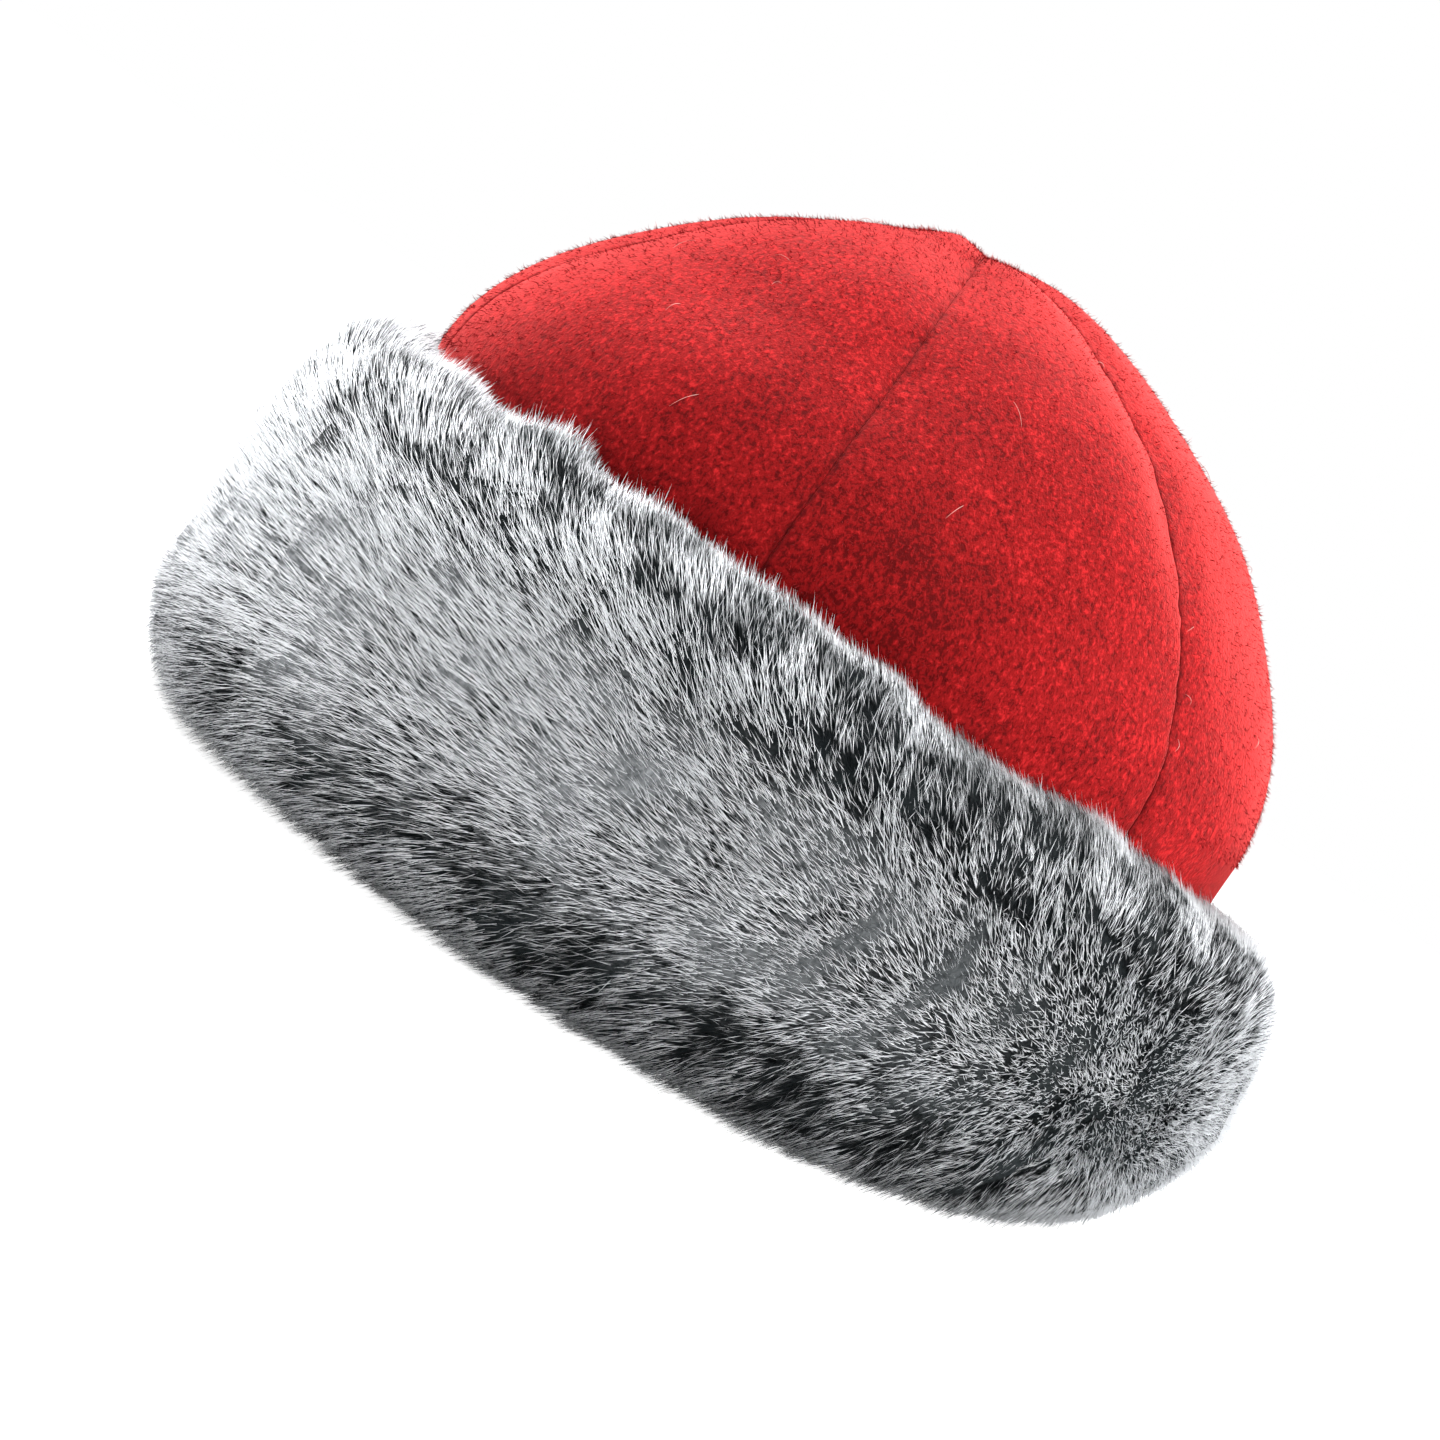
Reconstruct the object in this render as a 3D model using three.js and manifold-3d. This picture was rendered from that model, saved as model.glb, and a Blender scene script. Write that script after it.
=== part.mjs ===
// A winter hat sewn from six felted wool panels, with a deep fur cuff turned up round its rim.
// Units are millimetres and +Z is up. The hat rests on its rim at z = 0, with the rim's centre at the
// origin. The wearer faces -X, so -Y is the wearer's left. Panels and fur are closed faceted solids.
import * as THREE from "three";
import { mergeVertices } from "three/addons/utils/BufferGeometryUtils.js";
import Module from "manifold-3d";

const wasm = await Module();
wasm.setup();

// Crown: an upright oval wall that closes over in a dome
const CROWN_HALF_LENGTH = 101;
const CROWN_HALF_WIDTH = 83;
const HAT_HEIGHT = 165.5;
const DOME_START = 88;
const DOME_POWER = 1.65;
const CROWN_LEAN = -4;
const CROWN_HEM = 2.5;
const REAR_LIFT = 7.5; // how far the soft rim rises off the floor at the back
const WOOL_THICKNESS = 2.2;

// Seams: six of them, meeting in a dimple ahead of the dome's middle
const PANELS = [
  { name: "right_back", fromDeg: 0, toDeg: 63.5 },
  { name: "right_side", fromDeg: 63.5, toDeg: 116.5 },
  { name: "right_front", fromDeg: 116.5, toDeg: 180 },
  { name: "left_front", fromDeg: 180, toDeg: 243.5 },
  { name: "left_side", fromDeg: 243.5, toDeg: 296.5 },
  { name: "left_back", fromDeg: 296.5, toDeg: 360 },
];
const JUNCTION_SHIFT = -14;
const JUNCTION_RADIUS_SHARE = 0.016;
const SEAM_GAP = 0.4;
const SEAM_DEPTH = 2.2;
const SEAM_REACH = 5;
const PANEL_PUFF = 1.9;
const SHAPING_STARTS = 70;
const SHAPING_FULL = 155;

// Fur cuff
const CUFF_HEIGHT = 82;
const CUFF_RAKE = 4.2; // how much higher the cuff's top is in front, and lower at the back
const CUFF_SIDE_RISE = 3; // how much its top bows up at the sides
const FUR_DEPTH = 27.6;
const FUR_EXTRA_AT_BACK = 4.2;
const FUR_FLARE = 2.2; // how much further the fur stands out below its middle, and less above
const FUR_FLARE_AT_BACK = 1.1;
const FUR_TOP_POWER = 3.05;
const FUR_BOTTOM_POWER = 2.2;
const FUR_BACK_ROUNDING = 0.5; // how much rounder the bottom is at the back, and squarer in front
const FUR_SINK = 2.5; // how much of the round underside the floor flattens
const LOCK_PROUD = 4.5;
const LOCK_ROOT = 3;
const CUFF_CLEARANCE = 0.6;
const CUT_CLEARANCE = 0.4;

// Facets
const PANEL_COLUMNS = 8;
const WALL_ROWS = 3;
const DOME_ROWS = 11;
const SECTION_STEPS = 9;
const LOCK_SIDES = 4;

const RING_STEPS = PANEL_COLUMNS * PANELS.length;
const DOME_RISE = HAT_HEIGHT - DOME_START;

// Soft dents in the wool, deep at their middle and fading over their reach. Angles are seen from above,
// counterclockwise from the back of the hat.
const DENTS = [
  { place: "above the cuff, left front", angleDeg: 214, height: 128, reachDeg: 17, reachUp: 12, depth: 2.4 },
  { place: "left of the near seam", angleDeg: 232, height: 142, reachDeg: 12, reachUp: 9, depth: -1.2 },
  { place: "right of the near seam", angleDeg: 262, height: 120, reachDeg: 14, reachUp: 18, depth: 1.3 },
  { place: "near the left back seam", angleDeg: 285, height: 132, reachDeg: 9, reachUp: 16, depth: -1.3 },
  { place: "behind the left back seam", angleDeg: 318, height: 124, reachDeg: 15, reachUp: 14, depth: 1.8 },
  { place: "right side", angleDeg: 82, height: 126, reachDeg: 18, reachUp: 14, depth: 1.9 },
  { place: "right front", angleDeg: 150, height: 136, reachDeg: 14, reachUp: 12, depth: 1.5 },
  { place: "ahead of the junction", angleDeg: 190, height: 161, reachDeg: 60, reachUp: 2.2, depth: -1.8 },
];

// Rows of fur locks. Level is where a row sits on the fur's section, from -1 under the rim to 1 on top,
// and rise is how steeply its locks point up (negative is down).
const LOCK_ROWS = [
  { row: "under the rim", level: -0.93, count: 21, riseDeg: -44, length: 18, width: 15 },
  { row: "low", level: -0.7, count: 21, riseDeg: -26, length: 25, width: 16 },
  { row: "below the middle", level: -0.36, count: 21, riseDeg: -4, length: 28, width: 17 },
  { row: "middle", level: 0, count: 21, riseDeg: 9, length: 28, width: 17 },
  { row: "above the middle", level: 0.36, count: 21, riseDeg: 17, length: 28, width: 17 },
  { row: "high", level: 0.68, count: 21, riseDeg: 28, length: 25, width: 16 },
  { row: "top edge", level: 0.95, count: 21, riseDeg: 50, length: 17, width: 13 },
];

const radians = (degrees) => (degrees * Math.PI) / 180;

// A smooth step from 0 at low to 1 at high.
function smoothStep(value, low, high) {
  const t = Math.min(Math.max((value - low) / (high - low), 0), 1);
  return t * t * (3 - 2 * t);
}

// A repeatable stream of numbers from 0 to 1.
function seededRandom(seed) {
  let state = seed;
  return () => {
    state = (Math.imul(state, 1664525) + 1013904223) >>> 0;
    return state / 4294967296;
  };
}

// How far the rim stands off the floor: most at the back, and not at all from the sides forward.
function rimLift(angle) {
  return REAR_LIFT * Math.max(Math.cos(angle), 0) ** 2;
}

// The crown's smooth outer face. Scale is the share of the rim's size left at this row: 1 on the upright
// wall and 0 where the seams meet. The dome is a superellipse over the plan, so a point's height comes
// from where it lies in plan, and the seams can meet ahead of the middle without denting it.
function crownFace(angle, scale, wallHeight) {
  const x = CROWN_HALF_LENGTH * scale * Math.cos(angle) + JUNCTION_SHIFT * (1 - scale);
  const y = CROWN_HALF_WIDTH * scale * Math.sin(angle);
  const reach = Math.min(Math.hypot(x / CROWN_HALF_LENGTH, y / CROWN_HALF_WIDTH), 1);
  const rise = scale < 1 ? (1 - reach ** DOME_POWER) ** (1 / DOME_POWER) : 0;
  const pull = Math.max(reach, 1e-6) ** (DOME_POWER - 2);
  const normal = new THREE.Vector3(
    (pull * x) / CROWN_HALF_LENGTH ** 2,
    (pull * y) / CROWN_HALF_WIDTH ** 2,
    rise ** (DOME_POWER - 1) / DOME_RISE,
  ).normalize();
  const towardsHem = (DOME_START - wallHeight) / (DOME_START - CROWN_HEM);
  const z = scale < 1 ? DOME_START + DOME_RISE * rise : wallHeight + rimLift(angle) * towardsHem;
  return { point: new THREE.Vector3(x + CROWN_LEAN * rise ** 4, y, z), normal };
}

// How far the dents pull the wool in at this place.
function dentDepth(angle, height) {
  return DENTS.reduce((sum, dent) => {
    const turn = angle - radians(dent.angleDeg);
    const across = Math.atan2(Math.sin(turn), Math.cos(turn)) / radians(dent.reachDeg);
    const up = (height - dent.height) / dent.reachUp;
    return sum + dent.depth * Math.exp(-across * across - up * up);
  }, 0);
}

// The angle that is this share of the way across a panel.
function angleAcross(panel, share) {
  return radians(panel.fromDeg + share * (panel.toDeg - panel.fromDeg));
}

// How far a panel stands proud of the smooth dome. It bulges between its seams and sinks at them.
function panelRelief(panel, share, scale, angle, height) {
  const shaping = smoothStep(height, SHAPING_STARTS, SHAPING_FULL);
  const wide = radians(panel.toDeg - panel.fromDeg) * scale * CROWN_HALF_WIDTH;
  const toSeam = Math.min(share, 1 - share) * wide;
  const groove = SEAM_DEPTH * Math.exp(-((toSeam / SEAM_REACH) ** 2));
  const puff = PANEL_PUFF * Math.sin(Math.PI * share) * Math.sqrt(scale);
  return shaping * (puff - groove) - dentDepth(angle, height);
}

// The crown's rows from its hem to the junction, as the rim share left and the wall's height.
function crownRows() {
  const rows = [];
  for (let i = 0; i < WALL_ROWS; i++) {
    rows.push({ scale: 1, wallHeight: CROWN_HEM + ((DOME_START - CROWN_HEM) * i) / WALL_ROWS });
  }
  const lastTurn = Math.acos(JUNCTION_RADIUS_SHARE ** (DOME_POWER / 2));
  for (let i = 0; i <= DOME_ROWS; i++) {
    const turn = (lastTurn * i) / DOME_ROWS;
    rows.push({ scale: Math.cos(turn) ** (2 / DOME_POWER), wallHeight: DOME_START });
  }
  return rows;
}

// Joins an outer and an inner grid of points into one closed wall.
function closedWall(outer, inner) {
  const rows = outer.length;
  const columns = outer[0].length;
  const positions = [...outer.flat(), ...inner.flat()].flatMap((p) => [p.x, p.y, p.z]);
  const at = (row, column, side) => side * rows * columns + row * columns + column;
  const faces = [];
  const quad = (a, b, c, d) => faces.push(a, b, c, a, c, d);
  for (let r = 0; r + 1 < rows; r++) {
    for (let c = 0; c + 1 < columns; c++) {
      quad(at(r, c, 0), at(r, c + 1, 0), at(r + 1, c + 1, 0), at(r + 1, c, 0));
      quad(at(r, c, 1), at(r + 1, c, 1), at(r + 1, c + 1, 1), at(r, c + 1, 1));
    }
    quad(at(r, 0, 0), at(r + 1, 0, 0), at(r + 1, 0, 1), at(r, 0, 1));
    quad(at(r, columns - 1, 0), at(r, columns - 1, 1), at(r + 1, columns - 1, 1), at(r + 1, columns - 1, 0));
  }
  for (let c = 0; c + 1 < columns; c++) {
    quad(at(0, c, 0), at(0, c, 1), at(0, c + 1, 1), at(0, c + 1, 0));
    quad(at(rows - 1, c, 0), at(rows - 1, c + 1, 0), at(rows - 1, c + 1, 1), at(rows - 1, c, 1));
  }
  const geometry = new THREE.BufferGeometry();
  geometry.setAttribute("position", new THREE.Float32BufferAttribute(positions, 3));
  geometry.setIndex(faces);
  geometry.computeVertexNormals();
  return geometry;
}

// One wool panel, from the hem up to the junction, its side edges half a seam gap short of the seams.
function panelGeometry(panel) {
  const outer = [];
  const inner = [];
  for (const { scale, wallHeight } of crownRows()) {
    const halfGap = SEAM_GAP / 2 / (scale * CROWN_HALF_WIDTH);
    const outerRow = [];
    const innerRow = [];
    for (let c = 0; c <= PANEL_COLUMNS; c++) {
      const share = c / PANEL_COLUMNS;
      const angle = angleAcross(panel, share) + halfGap * (1 - 2 * share);
      const { point, normal } = crownFace(angle, scale, wallHeight);
      const relief = panelRelief(panel, share, scale, angle, point.z);
      outerRow.push(point.clone().addScaledVector(normal, relief));
      innerRow.push(point.clone().addScaledVector(normal, relief - WOOL_THICKNESS));
    }
    outer.push(outerRow);
    inner.push(innerRow);
  }
  return closedWall(outer, inner);
}

// A closed mesh as a solid that can be joined and cut.
function solidFrom(geometry) {
  const bare = geometry.clone();
  bare.deleteAttribute("normal");
  bare.deleteAttribute("uv");
  const merged = mergeVertices(bare, 1e-4);
  return new wasm.Manifold(
    new wasm.Mesh({
      numProp: 3,
      vertProperties: merged.attributes.position.array,
      triVerts: new Uint32Array(merged.index.array),
    }),
  );
}

// A solid back as a geometry that can be drawn.
function geometryFrom(solid) {
  const mesh = solid.getMesh();
  const geometry = new THREE.BufferGeometry();
  geometry.setAttribute("position", new THREE.BufferAttribute(mesh.vertProperties, 3));
  geometry.setIndex(new THREE.BufferAttribute(mesh.triVerts, 1));
  geometry.computeVertexNormals();
  return geometry;
}

// The crown's outline at the rim, seen from above: a point, the way out from it and the way the pile runs.
function rimAt(angle) {
  const x = CROWN_HALF_LENGTH * Math.cos(angle);
  const y = CROWN_HALF_WIDTH * Math.sin(angle);
  const out = new THREE.Vector3(x / CROWN_HALF_LENGTH ** 2, y / CROWN_HALF_WIDTH ** 2, 0).normalize();
  return { point: new THREE.Vector3(x, y, 0), out, along: new THREE.Vector3(out.y, -out.x, 0) };
}

// A place on the bed that the locks grow from: half a superellipse, upright against the crown, that is
// rounder below than above. Turn runs from -90 degrees at its foot to 90 at its top.
function furBed(angle, turn) {
  const { point, out, along } = rimAt(angle);
  const power = sectionPower(turn, angle);
  const upward = Math.sign(Math.sin(turn)) * Math.abs(Math.sin(turn)) ** (2 / power);
  const outward = Math.abs(Math.cos(turn)) ** (2 / power);
  const backward = Math.cos(angle);
  const flare = (FUR_FLARE + FUR_FLARE_AT_BACK * backward) * upward;
  const depth = FUR_DEPTH + FUR_EXTRA_AT_BACK * backward - flare - LOCK_PROUD;
  const foot = rimLift(angle) - FUR_SINK;
  const halfHeight = (cuffTop(angle) - LOCK_PROUD - foot) / 2;
  const place = point.clone().addScaledVector(out, depth * outward);
  place.z = foot + halfHeight * (1 + upward);
  const normal = out.clone().multiplyScalar(outward ** (power - 1) / depth);
  normal.z = (Math.sign(upward) * Math.abs(upward) ** (power - 1)) / halfHeight;
  return { place, normal: normal.normalize(), out, along };
}

// How high the cuff stands here.
function cuffTop(angle) {
  return CUFF_HEIGHT - CUFF_RAKE * Math.cos(angle) + CUFF_SIDE_RISE * Math.sin(angle) ** 2;
}

// How square the fur's section is here.
function sectionPower(turn, angle) {
  return turn > 0 ? FUR_TOP_POWER : FUR_BOTTOM_POWER - FUR_BACK_ROUNDING * Math.cos(angle);
}

// The turn at which the section reaches a level.
function turnAt(level, angle) {
  return Math.sign(level) * Math.asin(Math.abs(level) ** (sectionPower(level, angle) / 2));
}

// The fur fabric with its dense underfur, as a ring round the crown.
function bedGeometry() {
  const outer = [];
  const inner = [];
  for (let s = 0; s <= SECTION_STEPS; s++) {
    const turn = -Math.PI / 2 + (Math.PI * s) / SECTION_STEPS;
    const outerRow = [];
    const innerRow = [];
    for (let c = 0; c < RING_STEPS; c++) {
      const angle = (2 * Math.PI * c) / RING_STEPS;
      const { place, out } = furBed(angle, turn);
      outerRow.push(place.clone().addScaledVector(out, CUFF_CLEARANCE));
      const inside = rimAt(angle).point.addScaledVector(out, -WOOL_THICKNESS);
      innerRow.push(inside.setZ(place.z));
    }
    outer.push(outerRow);
    inner.push(innerRow);
  }
  return closedRing(outer, inner);
}

// Joins an outer and an inner grid that both run all the way round into one closed ring.
function closedRing(outer, inner) {
  const rows = outer.length;
  const columns = outer[0].length;
  const positions = [...outer.flat(), ...inner.flat()].flatMap((p) => [p.x, p.y, p.z]);
  const at = (row, column, side) => side * rows * columns + row * columns + (column % columns);
  const faces = [];
  const quad = (a, b, c, d) => faces.push(a, b, c, a, c, d);
  for (let c = 0; c < columns; c++) {
    for (let r = 0; r + 1 < rows; r++) {
      quad(at(r, c, 0), at(r, c + 1, 0), at(r + 1, c + 1, 0), at(r + 1, c, 0));
      quad(at(r, c, 1), at(r + 1, c, 1), at(r + 1, c + 1, 1), at(r, c + 1, 1));
    }
    quad(at(0, c, 0), at(0, c, 1), at(0, c + 1, 1), at(0, c + 1, 0));
    quad(at(rows - 1, c, 0), at(rows - 1, c + 1, 0), at(rows - 1, c + 1, 1), at(rows - 1, c, 1));
  }
  const geometry = new THREE.BufferGeometry();
  geometry.setAttribute("position", new THREE.Float32BufferAttribute(positions, 3));
  geometry.setIndex(faces);
  return geometry;
}

// One lock: a flattened spike that rises out of the bed and lies over it along the pile, bending down
// to stay as proud of the curved bed at its tip as it would be of a flat one.
function lockGeometry(root, normal, heading, length, width) {
  const sideways = new THREE.Vector3().crossVectors(normal, heading).normalize();
  const sections = [
    { share: 0, width: 0.6, thickness: 0.34 },
    { share: 0.45, width: 1, thickness: 0.34 },
    { share: 0.8, width: 0.6, thickness: 0.2 },
  ];
  const centre = (share) => {
    const run = length * share;
    const proud = (LOCK_ROOT + LOCK_PROUD) * Math.sin((share * Math.PI) / 2) - LOCK_ROOT;
    const fallAway = run ** 2 / (CROWN_HALF_LENGTH + CROWN_HALF_WIDTH);
    return root.clone().addScaledVector(heading, run).addScaledVector(normal, proud - fallAway);
  };
  const positions = sections.flatMap((section) => {
    const middle = centre(section.share);
    return Array.from({ length: LOCK_SIDES }, (_, k) => {
      const angle = (2 * Math.PI * k) / LOCK_SIDES;
      return middle
        .clone()
        .addScaledVector(sideways, (Math.cos(angle) * section.width * width) / 2)
        .addScaledVector(normal, (Math.sin(angle) * section.thickness * width) / 2)
        .toArray();
    }).flat();
  });
  positions.push(...centre(1).toArray());
  const tip = sections.length * LOCK_SIDES;
  const faces = [];
  for (let k = 1; k + 1 < LOCK_SIDES; k++) faces.push(0, k + 1, k);
  for (let k = 0; k < LOCK_SIDES; k++) {
    const next = (k + 1) % LOCK_SIDES;
    for (let s = 0; s + 1 < sections.length; s++) {
      const low = s * LOCK_SIDES;
      const high = low + LOCK_SIDES;
      faces.push(low + k, low + next, high + k, low + next, high + next, high + k);
    }
    faces.push(tip - LOCK_SIDES + k, tip - LOCK_SIDES + next, tip);
  }
  const geometry = new THREE.BufferGeometry();
  geometry.setAttribute("position", new THREE.Float32BufferAttribute(positions, 3));
  geometry.setIndex(faces);
  return geometry;
}

// All the locks, row by row, each turned and sized a little differently.
function lockSolids() {
  const random = seededRandom(41);
  const vary = (amount) => amount * (2 * random() - 1);
  return LOCK_ROWS.flatMap((row, rowIndex) =>
    Array.from({ length: row.count }, (_, k) => {
      const angle = (2 * Math.PI * (k + 0.5 * (rowIndex % 2) + vary(0.15))) / row.count;
      const { place, normal, along } = furBed(angle, turnAt(row.level + vary(0.03), angle));
      const upslope = new THREE.Vector3().crossVectors(normal, along).normalize();
      if (upslope.z < 0) upslope.negate();
      const rise = radians(row.riseDeg + vary(9));
      const heading = along.clone().multiplyScalar(Math.cos(rise)).addScaledVector(upslope, Math.sin(rise));
      const size = 1 + vary(0.12);
      return solidFrom(lockGeometry(place, normal, heading, row.length * size, row.width * size));
    }),
  );
}

// The crown's outside grown by the clearance and closed, which the cuff is cut with.
function crownClearance() {
  const rows = crownRows();
  rows[0] = { scale: 1, wallHeight: -2 * CUFF_HEIGHT };
  const grid = rows.map(({ scale, wallHeight }) =>
    Array.from({ length: RING_STEPS }, (_, c) => {
      const panel = PANELS[Math.floor(c / PANEL_COLUMNS)];
      const share = (c % PANEL_COLUMNS) / PANEL_COLUMNS;
      const angle = angleAcross(panel, share);
      const { point, normal } = crownFace(angle, scale, wallHeight);
      const relief = panelRelief(panel, share, scale, angle, point.z);
      return point.addScaledVector(normal, relief + CUT_CLEARANCE);
    }),
  );
  const positions = grid.flat().flatMap((p) => [p.x, p.y, p.z]);
  const faces = [];
  const at = (row, column) => row * RING_STEPS + (column % RING_STEPS);
  for (let c = 0; c < RING_STEPS; c++) {
    for (let r = 0; r + 1 < grid.length; r++) {
      faces.push(at(r, c), at(r, c + 1), at(r + 1, c + 1), at(r, c), at(r + 1, c + 1), at(r + 1, c));
    }
    if (c > 0 && c + 1 < RING_STEPS) {
      faces.push(at(0, 0), at(0, c + 1), at(0, c));
      faces.push(at(grid.length - 1, 0), at(grid.length - 1, c), at(grid.length - 1, c + 1));
    }
  }
  const geometry = new THREE.BufferGeometry();
  geometry.setAttribute("position", new THREE.Float32BufferAttribute(positions, 3));
  geometry.setIndex(faces);
  return solidFrom(geometry);
}

// The cuff: bed and locks fused, cleared of the crown and flattened where the hat rests.
function cuffGeometry() {
  const fur = lockSolids().reduce((joined, lock) => joined.add(lock), solidFrom(bedGeometry()));
  const floorSide = 6 * CROWN_HALF_LENGTH;
  const floorDepth = 2 * CUFF_HEIGHT;
  const floor = new THREE.BoxGeometry(floorSide, floorSide, floorDepth).translate(0, 0, -floorDepth / 2);
  return geometryFrom(fur.subtract(crownClearance()).subtract(solidFrom(floor)));
}

const wool = new THREE.MeshStandardMaterial({ name: "red_wool", color: 0xb5121b, roughness: 0.95 });
const fur = new THREE.MeshStandardMaterial({ name: "grey_fur", color: 0x8d9196, roughness: 0.9 });

const hat = new THREE.Group();
PANELS.forEach((panel) => {
  const mesh = new THREE.Mesh(panelGeometry(panel), wool.clone());
  mesh.name = `crown_panel_${panel.name}`;
  hat.add(mesh);
});
const cuff = new THREE.Mesh(cuffGeometry(), fur);
cuff.name = "fur_cuff";
hat.add(cuff);

// The locks differ round the cuff, so the hat is shifted to put its box's middle over the origin.
const middle = new THREE.Box3().setFromObject(hat).getCenter(new THREE.Vector3());
hat.children.forEach((mesh) => mesh.position.set(-middle.x, -middle.y, 0));

export default hat;
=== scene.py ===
"""A round hat sewn from six gores of felted red wool, with a deep cuff of silver-tipped grey fur.

All sizes are in metres. The hat rests on its rim at z = 0 and faces -X. Angles are seen from above,
counterclockwise from the back of the hat.
"""

import logging
import math
from dataclasses import dataclass, field
from enum import Enum
from typing import Any

import bpy
import numpy as np
from mathutils import Matrix


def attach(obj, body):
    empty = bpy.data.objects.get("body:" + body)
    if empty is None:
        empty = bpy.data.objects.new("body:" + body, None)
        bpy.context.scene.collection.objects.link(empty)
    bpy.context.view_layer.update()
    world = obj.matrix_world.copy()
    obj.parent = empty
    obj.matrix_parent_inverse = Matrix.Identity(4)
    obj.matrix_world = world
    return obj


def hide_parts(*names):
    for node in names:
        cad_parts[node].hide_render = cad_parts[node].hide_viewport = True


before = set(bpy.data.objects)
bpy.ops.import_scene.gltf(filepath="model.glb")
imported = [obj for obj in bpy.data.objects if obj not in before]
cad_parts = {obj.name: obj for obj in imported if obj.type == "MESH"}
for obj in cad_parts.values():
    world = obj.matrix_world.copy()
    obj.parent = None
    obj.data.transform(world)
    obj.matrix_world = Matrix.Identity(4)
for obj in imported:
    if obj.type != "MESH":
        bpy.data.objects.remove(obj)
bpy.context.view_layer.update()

LOG = logging.getLogger("hat")
BODY = "root"
STRAND_UV = "OFBake"
STRAND_UV_PARTS = 160.0
# The mesh attribute that carries the painted shade along the seams.
SEAM_ATTRIBUTE = "seam"
UP = np.array([0.0, 0.0, 1.0])
WHITE = (1.0, 1.0, 1.0, 1.0)

Array = np.ndarray
Colour = tuple[float, float, float]
Place = tuple[float, float, float]


class Slot(Enum):
    """The record's material slots."""

    WOOL = "red_wool"
    FUR = "grey_fur"


# Numbers and fields


def smooth_step(value: Array, low: float, high: float) -> Array:
    """A smooth step from 0 at low to 1 at high: 3t^2 - 2t^3 of the share t between them.

    Args:
        value: The numbers to step.
        low: Where the step starts.
        high: Where it ends.

    Returns:
        The steps, as an array like value.
    """
    share = np.clip((value - low) / (high - low), 0.0, 1.0)
    return share * share * (3.0 - 2.0 * share)


def unit(vectors: Array) -> Array:
    """The vectors, each divided by its length."""
    return vectors / np.maximum(np.linalg.norm(vectors, axis=-1, keepdims=True), 1e-12)


def turn_from(angle: Array, degrees: float) -> Array:
    """The turn in radians, the short way round, from a place that is given in degrees."""
    off = angle - math.radians(degrees)
    return np.arctan2(np.sin(off), np.cos(off))


def walked(path: Array) -> Array:
    """The distance walked along a path up to each of its points."""
    return np.concatenate([[0.0], np.cumsum(np.linalg.norm(np.diff(path, axis=0), axis=1))])


@dataclass(frozen=True)
class Ripple:
    """A smooth random field: its strength, the size of a bump, and which field it is."""

    strength: float
    cell: float
    seed: int

    def at(self, points: Array) -> Array:
        """The field: a sum of 14 plane waves of random heading and phase, about one bump per cell.

        Args:
            points: Places, one per row.

        Returns:
            One number per point, mostly between -strength and strength.
        """
        waves = 14
        rng = np.random.default_rng(self.seed)
        heading = rng.normal(size=(waves, points.shape[-1]))
        heading /= np.linalg.norm(heading, axis=1, keepdims=True)
        pitch = rng.uniform(0.6, 1.3, waves) * math.pi / self.cell
        phase = rng.uniform(0.0, 2.0 * math.pi, waves)
        total = np.sin(points @ (heading * pitch[:, None]).T + phase).sum(axis=-1)
        return self.strength * (total / math.sqrt(waves))


# Meshes and pieces


def mesh_object(name: str, points: Array, faces: Array, uv: Array | None = None) -> bpy.types.Object:
    """A smooth-shaded object from points and faces that all have the same number of corners.

    Args:
        name: The piece's name.
        points: Corner places, one per row.
        faces: Corner numbers, one face per row.
        uv: The strand map's place of each point, or None for no map.

    Returns:
        The object, linked to the scene, with its place in its mesh.
    """
    mesh = bpy.data.meshes.new(name)
    count, corners = faces.shape
    mesh.vertices.add(len(points))
    mesh.vertices.foreach_set("co", points.astype(np.float32).ravel())
    mesh.loops.add(count * corners)
    mesh.loops.foreach_set("vertex_index", faces.astype(np.int32).ravel())
    mesh.polygons.add(count)
    mesh.polygons.foreach_set("loop_start", np.arange(0, count * corners, corners, dtype=np.int32))
    mesh.polygons.foreach_set("use_smooth", np.ones(count, dtype=bool))
    if uv is not None:
        layer = mesh.uv_layers.new(name=STRAND_UV)
        layer.data.foreach_set("uv", uv[faces.ravel()].astype(np.float32).ravel())
    mesh.update(calc_edges=True)
    mesh.validate()
    piece = bpy.data.objects.new(name, mesh)
    bpy.context.scene.collection.objects.link(piece)
    return piece


def grid_faces(rows: int, columns: int, start: int = 0, ring: bool = False, flip: bool = False) -> Array:
    """The four-cornered faces of a grid of points stored row by row.

    Args:
        rows: Rows of points.
        columns: Columns of points.
        start: Number of the first point.
        ring: True if the last column joins the first.
        flip: True to turn the faces over.

    Returns:
        One face per row of the array.
    """
    row = np.arange(rows - 1)[:, None]
    column = np.arange(columns if ring else columns - 1)[None, :]
    beside = (column + 1) % columns
    low, high = start + row * columns, start + (row + 1) * columns
    faces = np.stack([low + column, low + beside, high + beside, high + column], axis=-1).reshape(-1, 4)
    return faces[:, ::-1] if flip else faces


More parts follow.
